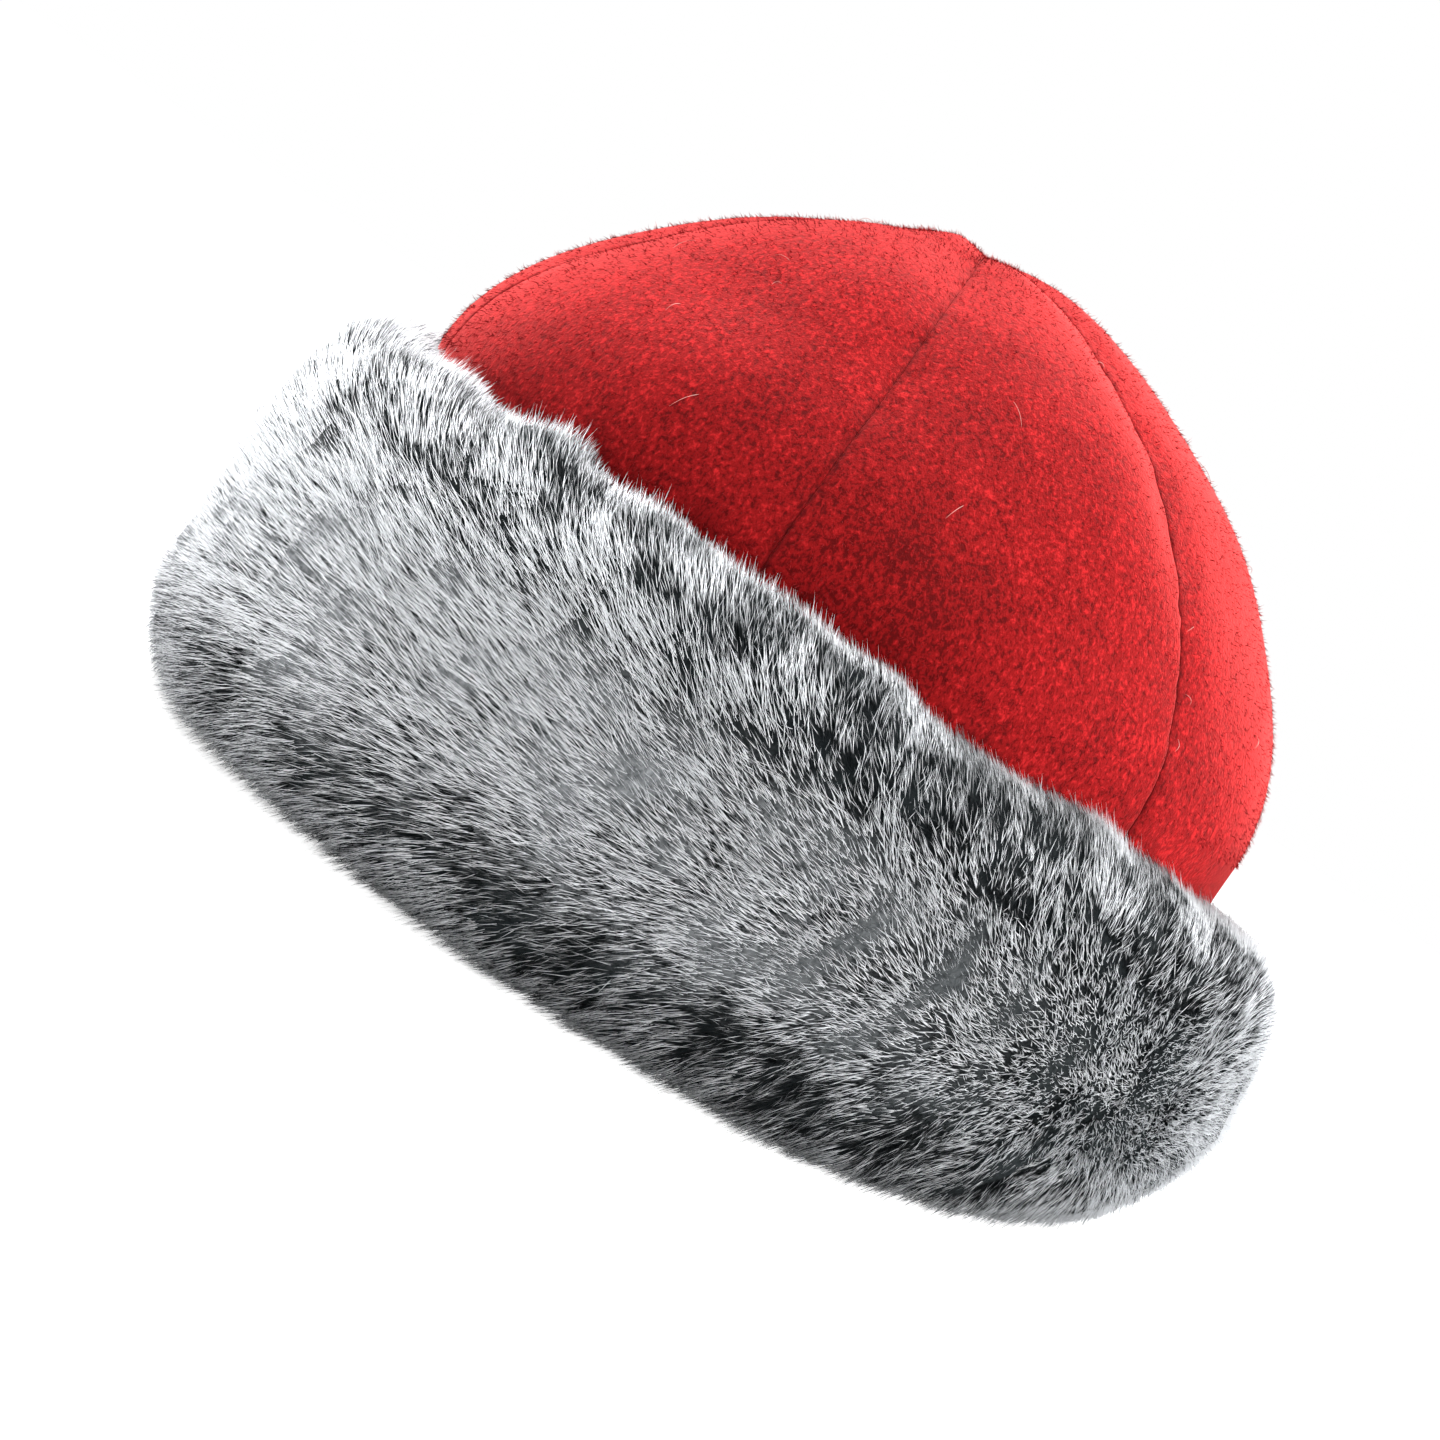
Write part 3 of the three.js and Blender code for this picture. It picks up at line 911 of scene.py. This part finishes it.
    def build(self) -> None:
        """Builds, dresses and places every piece of the crown."""
        wool = FeltedWool().material()
        for gore in self.gores:
            piece = self.panel(gore)
            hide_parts(f"crown_panel_{gore.name}")
            finish_piece(piece, wool)
        finish_piece(self.nap(), WOOL_NAP.material())
        finish_piece(self.stray_hairs(), STRAY_HAIR.material())


# Fur cuff


@dataclass(frozen=True)
class Coat:
    """One coat of strands: how many, their sizes, how far they bend over from root to tip, and how much of
    it goes short and dark where the pile opens."""

    name: str
    count: int
    length: float
    half_width: float
    root_tilt: float
    tip_tilt: float
    lightness: float
    thinned: float
    seed: int
    steps: int = 2


@dataclass(frozen=True)
class Lay:
    """How the strands lie at one level of the cuff, from -1, its foot, to 1, its top: how steeply they
    rise, in degrees, their length as a share of the coat's, and how openly their dark roots show."""

    level: float
    rise: float
    length: float
    openness: float


@dataclass(frozen=True)
class Parting:
    """A place where the pile parts and its dark roots show. Angles are in degrees, level is from -1, at
    the foot of the cuff, to 1, at its top, and the reaches are in metres."""

    angle: float
    level: float
    reach_along: float
    reach_up: float
    depth: float


@dataclass(frozen=True)
class Clumping:
    """Strands whose roots share a cell of this size draw together by a share between low and high."""

    size: float
    low: float
    high: float


@dataclass(frozen=True)
class Roots:
    """Where a coat's strands grow, one row per strand: angle and level, place, outward normal and level
    heading, how strongly the pile parts, how far it turns away from the parting, and how bare it is."""

    angle: Array
    level: Array
    place: Array
    normal: Array
    along: Array
    part: Array
    turned: Array
    bare: Array


@dataclass
class FurCuff:
    """The deep fur cuff: a ring of dark underfur with silver-tipped strands laid round the hat."""

    crown: Crown
    height: float = 0.082
    rake: float = 0.0042
    side_rise: float = 0.003
    depth: float = 0.0279
    extra_at_back: float = 0.0028
    flare: float = 0.0022
    flare_at_back: float = 0.0011
    top_power: float = 3.05
    bottom_power: float = 2.3
    back_rounding: float = 0.6
    sink: float = -0.0029
    pile: float = 0.0030
    root_sink: float = 0.0006
    lowest_root: float = 0.0006
    into_wool: float = 0.0010
    lumps_broad: Ripple = Ripple(0.0011, 0.006, 11)
    lumps_fine: Ripple = Ripple(0.0006, 0.0028, 12)
    coats: tuple[Coat, ...] = (
        Coat(
            name="pile",
            count=172000,
            length=0.0060,
            half_width=0.000122,
            root_tilt=48.0,
            tip_tilt=15.0,
            lightness=0.92,
            thinned=1.0,
            seed=31,
        ),
        Coat(
            name="guard_hairs",
            count=18000,
            length=0.0078,
            half_width=0.00010,
            root_tilt=48.0,
            tip_tilt=17.0,
            lightness=0.96,
            thinned=0.35,
            seed=51,
        ),
    )
    lays: tuple[Lay, ...] = (
        Lay(level=-1.00, rise=-32.0, length=1.35, openness=0.40),
        Lay(level=-0.90, rise=-29.0, length=1.40, openness=0.60),
        Lay(level=-0.72, rise=-22.0, length=1.20, openness=1.30),
        Lay(level=-0.48, rise=-10.0, length=1.00, openness=0.75),
        Lay(level=-0.24, rise=4.0, length=1.00, openness=0.12),
        Lay(level=0.00, rise=13.0, length=1.00, openness=0.03),
        Lay(level=0.30, rise=21.0, length=1.00, openness=0.08),
        Lay(level=0.50, rise=28.0, length=1.00, openness=0.52),
        Lay(level=0.66, rise=37.0, length=1.05, openness=1.05),
        Lay(level=0.84, rise=50.0, length=1.10, openness=1.00),
        Lay(level=1.00, rise=60.0, length=0.90, openness=0.30),
    )
    partings: tuple[Parting, ...] = (
        Parting(angle=198.0, level=0.55, reach_along=0.006, reach_up=0.0030, depth=0.59),
        Parting(angle=211.0, level=0.62, reach_along=0.006, reach_up=0.0030, depth=0.68),
        Parting(angle=218.0, level=0.60, reach_along=0.005, reach_up=0.0030, depth=0.68),
        Parting(angle=230.0, level=-0.62, reach_along=0.005, reach_up=0.0030, depth=0.68),
        Parting(angle=246.0, level=0.37, reach_along=0.0035, reach_up=0.0020, depth=0.65),
        Parting(angle=248.0, level=-0.75, reach_along=0.006, reach_up=0.0040, depth=0.85),
        Parting(angle=254.0, level=0.49, reach_along=0.0035, reach_up=0.0025, depth=0.68),
        Parting(angle=262.0, level=0.54, reach_along=0.005, reach_up=0.0030, depth=0.85),
        Parting(angle=265.0, level=0.06, reach_along=0.0035, reach_up=0.0025, depth=0.44),
        Parting(angle=268.0, level=0.61, reach_along=0.005, reach_up=0.0030, depth=0.77),
        Parting(angle=273.0, level=-0.62, reach_along=0.006, reach_up=0.0035, depth=0.68),
        Parting(angle=277.0, level=0.12, reach_along=0.004, reach_up=0.0025, depth=0.38),
        Parting(angle=280.0, level=0.55, reach_along=0.005, reach_up=0.0035, depth=0.77),
        Parting(angle=290.0, level=0.60, reach_along=0.004, reach_up=0.0040, depth=0.77),
        Parting(angle=299.0, level=-0.12, reach_along=0.004, reach_up=0.0025, depth=0.38),
        Parting(angle=303.0, level=0.55, reach_along=0.004, reach_up=0.0030, depth=0.68),
    )
    far_side_shift: float = 17.0
    scallops: Ripple = Ripple(0.0010, 0.0105, 35)
    swell: float = 0.0022
    swell_at: float = 226.0
    swell_reach: float = 0.28
    patches_broad: Ripple = Ripple(1.0, 0.011, 61)
    patches_fine: Ripple = Ripple(0.8, 0.0045, 62)
    open_at_back: float = 0.03
    closed_under_back: float = 0.95
    short_share: float = 0.72
    sways_broad: Ripple = Ripple(5.0, 0.018, 23)
    sways_fine: Ripple = Ripple(5.0, 0.0055, 24)
    sway_spread: float = 10.0
    parting_turn: float = 30.0
    lifts_broad: Ripple = Ripple(0.16, 0.010, 25)
    lifts_fine: Ripple = Ripple(0.12, 0.0045, 26)
    tufts: Ripple = Ripple(1.0, 0.0105, 27)
    tips_broad: Ripple = Ripple(0.05, 0.012, 28)
    tips_fine: Ripple = Ripple(0.08, 0.0030, 29)
    # ticks and foot_ticks: shares of single dark strands; those along the foot are partly painted shade.
    ticks: float = 0.10
    foot_ticks: float = 0.50
    on_floor: float = 0.0004
    cuts_broad: Ripple = Ripple(0.20, 0.006, 33)
    cuts_fine: Ripple = Ripple(0.18, 0.0022, 34)
    clumps: tuple[Clumping, ...] = (
        Clumping(size=0.0015, low=0.00, high=0.50),
        Clumping(size=0.0062, low=0.00, high=0.16),
    )
    ring_steps: int = 160
    section_steps: int = 30
    root_steps: int = 721
    bend_steps: int = 20
    quarters: tuple[str, ...] = ("back_right", "front_right", "front_left", "back_left")

    def both_sides(self, degrees: float) -> tuple[float, float]:
        """An angle on the near side and its mirror on the far side, moved on a little, in degrees."""
        return degrees, self.far_side_shift - degrees

    def power(self, angle: Array, turn: Array) -> Array:
        """How square the section is: squarer above, rounder below and roundest under the back."""
        return np.where(turn > 0.0, self.top_power, self.bottom_power - self.back_rounding * np.cos(angle))

    def bed(self, angle: Array, turn: Array) -> tuple[Array, Array, Array]:
        """The underfur's face: half a superellipse that stands against the crown.

        Outward reach is depth |cos t|^(2/p), and height is half (1 + sign(sin t) |sin t|^(2/p)). The
        power p is higher above the middle, so the top is squarer. The top is a little scalloped all
        round, and on each side it has one low Gaussian swell.

        Args:
            angle: Angle round the hat.
            turn: Turn round the section, from -90 degrees at its foot to 90 at its top.

        Returns:
            Places, outward normals, and level headings along the pile.
        """
        rim, out = self.crown.rim_oval(angle)
        power = self.power(angle, turn)
        upward = np.sign(np.sin(turn)) * np.abs(np.sin(turn)) ** (2.0 / power)
        outward = np.abs(np.cos(turn)) ** (2.0 / power)
        backward = np.cos(angle)
        flare = (self.flare + self.flare_at_back * backward) * upward
        deep = self.depth + self.extra_at_back * backward - flare - self.pile
        foot = self.crown.rim_lift(angle) - self.sink
        top = self.height - self.rake * backward + self.side_rise * np.sin(angle) ** 2
        top = top + self.scallops.at(rim)
        for middle in self.both_sides(self.swell_at):
            top = top + self.swell * np.exp(-((turn_from(angle, middle) / self.swell_reach) ** 2))
        half = (top - self.pile - foot) / 2.0
        place = rim + UP * (foot + half * (1.0 + upward))[..., None] + out * (deep * outward)[..., None]
        normal = out * (outward ** (power - 1.0) / deep)[..., None]
        normal[..., 2] = np.sign(upward) * np.abs(upward) ** (power - 1.0) / half
        along = np.stack([out[..., 1], -out[..., 0], out[..., 2]], axis=-1)
        return place + self.crown.centre, unit(normal), along

    def underfur(self) -> bpy.types.Object:
        """The ring of underfur, lumpy outside, flat where it rests and closed against the crown.

        Returns:
            The ring as a closed piece.
        """
        angle = np.linspace(0.0, 2.0 * math.pi, self.ring_steps, endpoint=False)[None, :]
        turn = np.linspace(-math.pi / 2.0, math.pi / 2.0, self.section_steps)[:, None]
        angle, turn = np.broadcast_arrays(angle + 0.0 * turn, turn + 0.0 * angle)
        outer, normal, _ = self.bed(angle, turn)
        lumps = self.lumps_broad.at(outer) + self.lumps_fine.at(outer)
        outer = outer + normal * (lumps * np.cos(turn) ** 0.5)[..., None]
        outer[..., 2] = np.maximum(outer[..., 2], 0.0)
        rim, out = self.crown.rim_oval(angle)
        inner = rim + UP * outer[..., 2:] + self.crown.centre - out * self.into_wool
        rows, columns = angle.shape
        count = rows * columns
        points = np.concatenate([outer.reshape(-1, 3), inner.reshape(-1, 3)])
        here = np.arange(columns)
        beside = (here + 1) % columns
        foot = np.stack([here, here + count, beside + count, beside], axis=-1)
        last = (rows - 1) * columns
        head = np.stack([last + here, last + beside, last + beside + count, last + here + count], axis=-1)
        outside = grid_faces(rows, columns, ring=True)
        inside = grid_faces(rows, columns, count, ring=True, flip=True)
        return mesh_object("fur_underfur", points, np.concatenate([outside, inside, foot, head]))

    def parted(self, angle: Array, level: Array) -> tuple[Array, Array]:
        """How strongly the pile parts at each place, as a sum of Gaussians round the partings.

        Args:
            angle: Angle round the hat.
            level: Level on the section.

        Returns:
            The strength, and how far the strands turn up (positive) or down away from the parting.
        """
        strength, turned = np.zeros_like(angle), np.zeros_like(angle)
        girth = (self.crown.half_length + self.crown.half_width) / 2.0 + self.depth
        for part in self.partings:
            for place in self.both_sides(part.angle):
                along = turn_from(angle, place) * girth / part.reach_along
                up = (level - part.level) * self.height / 2.0 / part.reach_up
                own = part.depth * np.exp(-(along**2) - up**2)
                strength += own
                turned += own * np.tanh(2.0 * up)
        return np.minimum(strength, 1.0), turned

    def at_level(self, level: Array, column: list[float]) -> Array:
        """One column of the lays, read between their levels."""
        return np.interp(level, [lay.level for lay in self.lays], column)

    def openness(self, angle: Array, level: Array, root: Array) -> Array:
        """How openly the dark roots show, from 0 to 1, without the partings.

        Each level's own openness comes and goes in patches. It is less in front and under the back.

        Args:
            angle: Angle round the hat.
            level: Level on the section.
            root: Root places.

        Returns:
            One number per root.
        """
        own = self.at_level(level, [lay.openness for lay in self.lays])
        patches = smooth_step(self.patches_broad.at(root) + self.patches_fine.at(root), -1.3, 0.9)
        backward = smooth_step(np.cos(angle), -1.0, 0.5)
        behind = self.open_at_back * smooth_step(np.cos(angle), 0.0, 0.8)
        closed = self.closed_under_back * smooth_step(np.cos(angle), 0.3, 0.8) * smooth_step(-level, 0.1, 0.5)
        return own * patches * (0.62 + 0.65 * backward - closed) + behind

    def roots(self, coat: Coat) -> Roots:
        """Random root places, even over the bed: angle and turn by the arc lengths round and up it.

        Args:
            coat: The coat of strands.

        Returns:
            The roots.
        """
        rng = np.random.default_rng(coat.seed)
        fine = np.linspace(0.0, 2.0 * math.pi, self.root_steps)
        ring, _, _ = self.bed(fine, np.zeros_like(fine))
        round_way = walked(ring)
        angle = np.interp(rng.uniform(0.0, round_way[-1], coat.count), round_way, fine)
        climb = np.linspace(-0.5 * math.pi, 0.5 * math.pi, self.root_steps)
        section, _, _ = self.bed(np.full_like(climb, 1.5 * math.pi), climb)
        climbed = walked(section)
        floor = float(np.interp(self.lowest_root, section[:, 2], climbed))
        turn = np.interp(rng.uniform(floor, climbed[-1], coat.count), climbed, climb)
        place, normal, along = self.bed(angle, turn)
        level = np.sign(np.sin(turn)) * np.abs(np.sin(turn)) ** (2.0 / self.power(angle, turn))
        part, turned = self.parted(angle, level)
        bare = np.clip(self.openness(angle, level, place) + part, 0.0, 1.0)
        return Roots(angle, level, place, normal, along, part, turned, bare)

    def bend(self, coat: Coat, lift: Array) -> tuple[Array, Array]:
        """How a strand of unit length bends over: its tilt falls from root to tip as (1 - s)^1.3.

        Args:
            coat: The coat of strands.
            lift: What each strand's tilt is multiplied by.

        Returns:
            How far each strand runs along its heading, and how far it stands off the bed, at each step.
        """
        fine = np.linspace(0.0, 1.0, self.bend_steps + 1)
        tilt = np.radians(coat.tip_tilt + (coat.root_tilt - coat.tip_tilt) * (1.0 - fine) ** 1.3)
        tilt = np.clip(tilt[None, :] * lift[:, None], 0.03, 1.35)
        step = 1.0 / self.bend_steps
        start = np.zeros((len(lift), 1))
        run = np.concatenate([start, np.cumsum(np.cos(tilt[:, 1:]) * step, axis=1)], axis=1)
        stand = np.concatenate([start, np.cumsum(np.sin(tilt[:, 1:]) * step, axis=1)], axis=1)
        at = np.round(np.linspace(0.0, 1.0, coat.steps) * self.bend_steps).astype(int)
        return run[:, at], stand[:, at]

    def spines(self, coat: Coat, roots: Roots, short: Array, rng: np.random.Generator) -> Array:
        """The strands' centre lines, before they clump and meet the floor.

        A strand leaves its root at the root tilt and bends down to the tip tilt, along a heading that
        fans from down at the foot of the cuff, round the hat at its middle, to up at its top. Where the
        pile opens, strands stand up more and part of them are short.

        Args:
            coat: The coat of strands.
            roots: Where they grow.
            short: Which of them are short.
            rng: Random numbers.

        Returns:
            Places as strands by steps by three.
        """
        count, root, level = coat.count, roots.place, roots.level
        up = np.cross(roots.normal, roots.along)
        up *= np.sign(up[:, 2:] + 1e-9)
        sway = self.sways_broad.at(root) + self.sways_fine.at(root) + rng.normal(0.0, self.sway_spread, count)
        rise = self.at_level(level, [lay.rise for lay in self.lays]) + sway + self.parting_turn * roots.turned
        rise = np.radians(rise)
        heading = roots.along * np.cos(rise)[:, None] + up * np.sin(rise)[:, None]
        lift = 1.0 + self.lifts_broad.at(root) + self.lifts_fine.at(root) + rng.normal(0.0, 0.16, count)
        lift = np.clip(lift + 0.30 * roots.bare, 0.35, 1.7)
        grown = 1.0 + rng.normal(0.0, 0.13, count) - 0.25 * short - 0.2 * roots.part
        grown = grown + (0.06 + 0.14 * smooth_step(np.abs(level), 0.6, 0.9)) * self.tufts.at(root)
        length = coat.length * self.at_level(level, [lay.length for lay in self.lays])
        length = length * np.clip(grown, 0.45, 1.35)
        run, stand = self.bend(coat, lift)
        return (
            root[:, None]
            + heading[:, None] * (run * length[:, None])[..., None]
            + roots.normal[:, None] * (stand * length[:, None] - self.root_sink)[..., None]
        )

    def clump(self, spine: Array, roots: Roots, clumping: Clumping, rng: np.random.Generator) -> Array:
        """Draws the strands of each clump together towards their tips, more where the pile is bare.

        Args:
            spine: Centre lines.
            roots: Where they grow.
            clumping: The clumps' size and pull.
            rng: Random numbers.

        Returns:
            The centre lines, drawn together.
        """
        jitter = rng.normal(0.0, 0.18, roots.place.shape)
        cell = np.floor(roots.place / clumping.size + jitter).astype(np.int64)
        key = (cell[:, 0] * 4096 + cell[:, 1]) * 4096 + cell[:, 2]
        _, member = np.unique(key, return_inverse=True)
        member = member.ravel()
        total = np.bincount(member).astype(float)
        middle = np.stack([np.bincount(member, spine[:, 0, k]) / total for k in range(3)], axis=-1)
        pull = rng.uniform(clumping.low, clumping.high, len(total))[member]
        pull = np.minimum(pull + 0.42 * roots.bare, 0.9)
        away = (spine[:, 0] - middle[member]) * pull[:, None]
        share = np.linspace(0.0, 1.0, spine.shape[1])
        return spine - away[:, None] * (share[None, :, None] ** 1.5)

    def cut_at_floor(self, spine: Array, root: Array, rng: np.random.Generator) -> Array:
        """Shortens the strands that would pass the floor, so that they end on it or a little above it.

        Args:
            spine: Centre lines.
            root: Root places.
            rng: Random numbers.

        Returns:
            The centre lines, none below the floor.
        """
        first, tip = spine[:, :1], spine[:, -1]
        over = tip[:, 2] < self.on_floor
        room = np.maximum(first[:, 0, 2] - self.on_floor, 0.0)
        reach = np.clip(room / np.maximum(first[:, 0, 2] - tip[:, 2], 1e-6), 0.1, 1.0)
        ragged = rng.uniform(0.62, 1.15, len(root)) + self.cuts_broad.at(root) + self.cuts_fine.at(root)
        ragged = np.clip(ragged, 0.3, 1.0)
        kept = np.where(over, reach * ragged, 1.0)[:, None, None]
        spine = first + (spine - first) * kept
        spine[..., 2] = np.maximum(spine[..., 2], self.on_floor)
        return spine

    def shades(self, coat: Coat, roots: Roots, short: Array, rng: np.random.Generator) -> Array:
        """How light each strand is: darker at the top, near the foot and where the pile is bare, lighter at
        the
            back. The darkening at the top and foot and the lightening at the back are partly painted shade
            and light; the dark roots where the pile is bare are the fur's own. Short strands and single
            ticks, which are most along the foot, are dark, and many of those along the foot are painted
            shade.

        Args:
            coat: The coat of strands.
            roots: Where they grow.
            short: Which of them are short.
            rng: Random numbers.

        Returns:
            One number per strand, from 0.02 to 0.98.
        """
        count, root, level, forward = coat.count, roots.place, roots.level, -np.cos(roots.angle)
        light = coat.lightness + self.tips_broad.at(root) + self.tips_fine.at(root)
        at_top = smooth_step(level, 0.6, 0.95)
        at_foot = smooth_step(-level, 0.40, 0.62) - smooth_step(-level, 0.76, 0.90)
        in_front = smooth_step(forward, 0.3, 0.9)
        at_back = smooth_step(-forward, 0.3, 0.8)
        light = light + rng.normal(0.0, 0.10, count) - 0.50 * roots.bare * coat.thinned
        # Partly painted shade darkens the top and the foot, and painted light lightens the back.
        light = light - (0.60 + 0.08 * in_front) * at_top - 0.12 * at_foot
        light = light + 0.14 * at_back
        sideways = smooth_step(-np.abs(forward), -1.0, -0.1)
        # Many dark strands along the foot, partly painted shade.
        foot_ticks = self.foot_ticks * smooth_step(-level, 0.35, 0.62) * (1.0 - 0.8 * at_back)
        ticked = rng.uniform(0.0, 1.0, count) < self.ticks * (0.25 + 0.75 * sideways) + foot_ticks
        light = np.maximum(light, 0.36 - 0.19 * np.maximum(at_top, at_foot))
        light = np.where(short | ticked, rng.uniform(0.02, 0.22, count), light)
        return np.clip(light, 0.02, 0.98)

    def strands(self, coat: Coat) -> tuple[Array, Array, Array]:
        """One coat's strands, laid, clumped, cut at the floor and shaded.

        Args:
            coat: The coat of strands.

        Returns:
            Spines as strands by steps by three, half widths, and lightness.
        """
        rng = np.random.default_rng(coat.seed + 1)
        roots = self.roots(coat)
        short = rng.uniform(0.0, 1.0, coat.count) < self.short_share * roots.bare * coat.thinned
        spine = self.spines(coat, roots, short, rng)
        for clumping in self.clumps:
            spine = self.clump(spine, roots, clumping, rng)
        spine = self.cut_at_floor(spine, roots.place, rng)
        light = self.shades(coat, roots, short, rng)
        return spine, coat.half_width * rng.uniform(0.75, 1.25, coat.count), light

    def build(self) -> None:
        """Builds, dresses and places every piece of the cuff."""
        ring = self.underfur()
        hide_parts("fur_cuff")
        finish_piece(ring, Underfur().material())
        strand = FUR_STRAND.material()
        for coat in self.coats:
            spine, width, light = self.strands(coat)
            place = spine[:, 0] - self.crown.centre
            quarter = (np.arctan2(place[:, 1], place[:, 0]) % (2.0 * math.pi) // (math.pi / 2.0)).astype(int)
            taper = (1.0,) * (coat.steps - 1)
            for index, name in enumerate(self.quarters):
                own = quarter == index
                piece = strand_mesh(f"fur_{coat.name}_{name}", spine[own], width[own], light[own], taper)
                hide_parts("fur_cuff")
                finish_piece(piece, strand)


# Studio


def facing(place: Array, aim: Array, roll: float) -> Matrix:
    """A transform whose -Z looks from place to aim, turned about that line.

    Args:
        place: Where it stands.
        aim: What it looks at.
        roll: Turn in radians by which the world's up leans right in its view.

    Returns:
        The transform.
    """
    back = unit(place - aim)
    right = unit(np.cross(UP, back))
    up = np.cross(back, right)
    leaned_right = math.cos(roll) * right + math.sin(roll) * up
    leaned_up = math.cos(roll) * up - math.sin(roll) * right
    rows = np.stack([leaned_right, leaned_up, back, place], axis=1)
    return Matrix([*rows.tolist(), [0.0, 0.0, 0.0, 1.0]])


@dataclass(frozen=True)
class SoftBox:
    """A square studio light that faces the hat."""

    name: str
    place: Place
    size: float
    power: float

    def build(self, aim: Array) -> None:
        """Hangs the light at its place, turned to the aim point.

        Args:
            aim: What it faces.
        """
        data = bpy.data.lights.new(self.name, "AREA")
        data.shape = "SQUARE"
        data.size = self.size
        data.energy = self.power
        lamp = bpy.data.objects.new(self.name, data)
        bpy.context.scene.collection.objects.link(lamp)
        lamp.matrix_world = facing(np.asarray(self.place), aim, 0.0)


@dataclass
class Studio:
    """A white floor, soft boxes and the camera at the photograph's angle. Angles are in degrees."""

    azimuth: float = -19.4
    elevation: float = 5.66
    distance: float = 0.5297
    roll: float = 33.88
    focal_px: float = 2517.6
    picture_px: float = 1440.0
    sensor_mm: float = 36.0
    aim: Place = (-0.0143, 0.0, 0.0531)
    floor_radius: float = 6.0
    floor_corners: int = 96
    floor_glow: float = 0.93
    floor_grey: float = 0.85
    ambient: float = 0.10
    boxes: tuple[SoftBox, ...] = (
        SoftBox("top_box", (0.05, 0.45, 1.4), 1.2, 38.0),
        SoftBox("front_top_box", (-0.5, 0.45, 1.3), 1.2, 53.0),
        SoftBox("left_box", (-1.20, -0.30, 0.60), 1.1, 3.0),
        SoftBox("back_box", (-0.8, 0.9, 0.5), 1.1, 6.0),
        SoftBox("right_box", (1.10, -0.56, 0.12), 0.9, 42.0),
        SoftBox("front_box", (0.7, -1.6, 0.15), 1.2, 44.0),
    )

    def camera(self) -> None:
        """The camera, level with the middle of the hat and leaned so that the hat tips right."""
        data = bpy.data.cameras.new("camera")
        data.sensor_width = self.sensor_mm
        data.lens = self.focal_px / self.picture_px * self.sensor_mm
        data.clip_start = 0.01
        data.clip_end = 60.0
        camera = bpy.data.objects.new("camera", data)
        bpy.context.scene.collection.objects.link(camera)
        turn, tilt = math.radians(self.azimuth), math.radians(self.elevation)
        level = math.cos(tilt)
        back = np.array([math.sin(turn) * level, -math.cos(turn) * level, math.sin(tilt)])
        aim = np.asarray(self.aim)
        camera.matrix_world = facing(aim + back * self.distance, aim, math.radians(self.roll))
        bpy.context.scene.camera = camera

    def floor(self) -> None:
        """A round white floor, its rim far outside every view, that glows a little for the camera."""
        corners = self.floor_corners
        turn = np.linspace(0.0, 2.0 * math.pi, corners, endpoint=False)
        rim = np.stack([np.cos(turn), np.sin(turn), 0.0 * turn], axis=-1) * self.floor_radius
        here = np.arange(corners)
        faces = np.stack([np.zeros(corners, dtype=int), here + 1, (here + 1) % corners + 1], axis=-1)
        floor = mesh_object("studio_floor", np.concatenate([[[0.0, 0.0, 0.0]], rim]), faces)
        nodes = Nodes.of_material("white_floor")
        seen = nodes.add("ShaderNodeLightPath", out="Is Camera Ray")
        white = nodes.finish(
            {
                "Base Color": (self.floor_grey, self.floor_grey, self.floor_grey, 1.0),
                "Roughness": 0.9,
                "Specular IOR Level": 0.0,
                "Emission Color": WHITE,
                "Emission Strength": seen * self.floor_glow,
            }
        )
        floor.data.materials.append(white)

    def world(self) -> None:
        """Even white light from all round, with a plain white backdrop behind the hat."""
        nodes = Nodes(bpy.data.worlds.new("studio"), "ShaderNodeOutputWorld")
        cast, seen = (
            nodes.add("ShaderNodeBackground", {}, {"Color": WHITE, "Strength": strength})
            for strength in (self.ambient, 1.0)
        )
        by_camera = nodes.add("ShaderNodeLightPath", out="Is Camera Ray")
        both = nodes.add("ShaderNodeMixShader", {}, {0: by_camera, 1: cast, 2: seen})
        bpy.context.scene.world = nodes.close(both)

    def build(self) -> None:
        """Builds the whole studio."""
        self.camera()
        self.floor()
        self.world()
        for box in self.boxes:
            box.build(np.asarray(self.aim))
        bpy.context.scene.view_settings.view_transform = "Standard"


def main() -> None:
    logging.basicConfig(level=logging.INFO, format="%(message)s")
    crown = Crown()
    crown.place_on_frame()
    crown.build()
    FurCuff(crown).build()
    Studio().build()


if __name__ == "__main__":
    main()
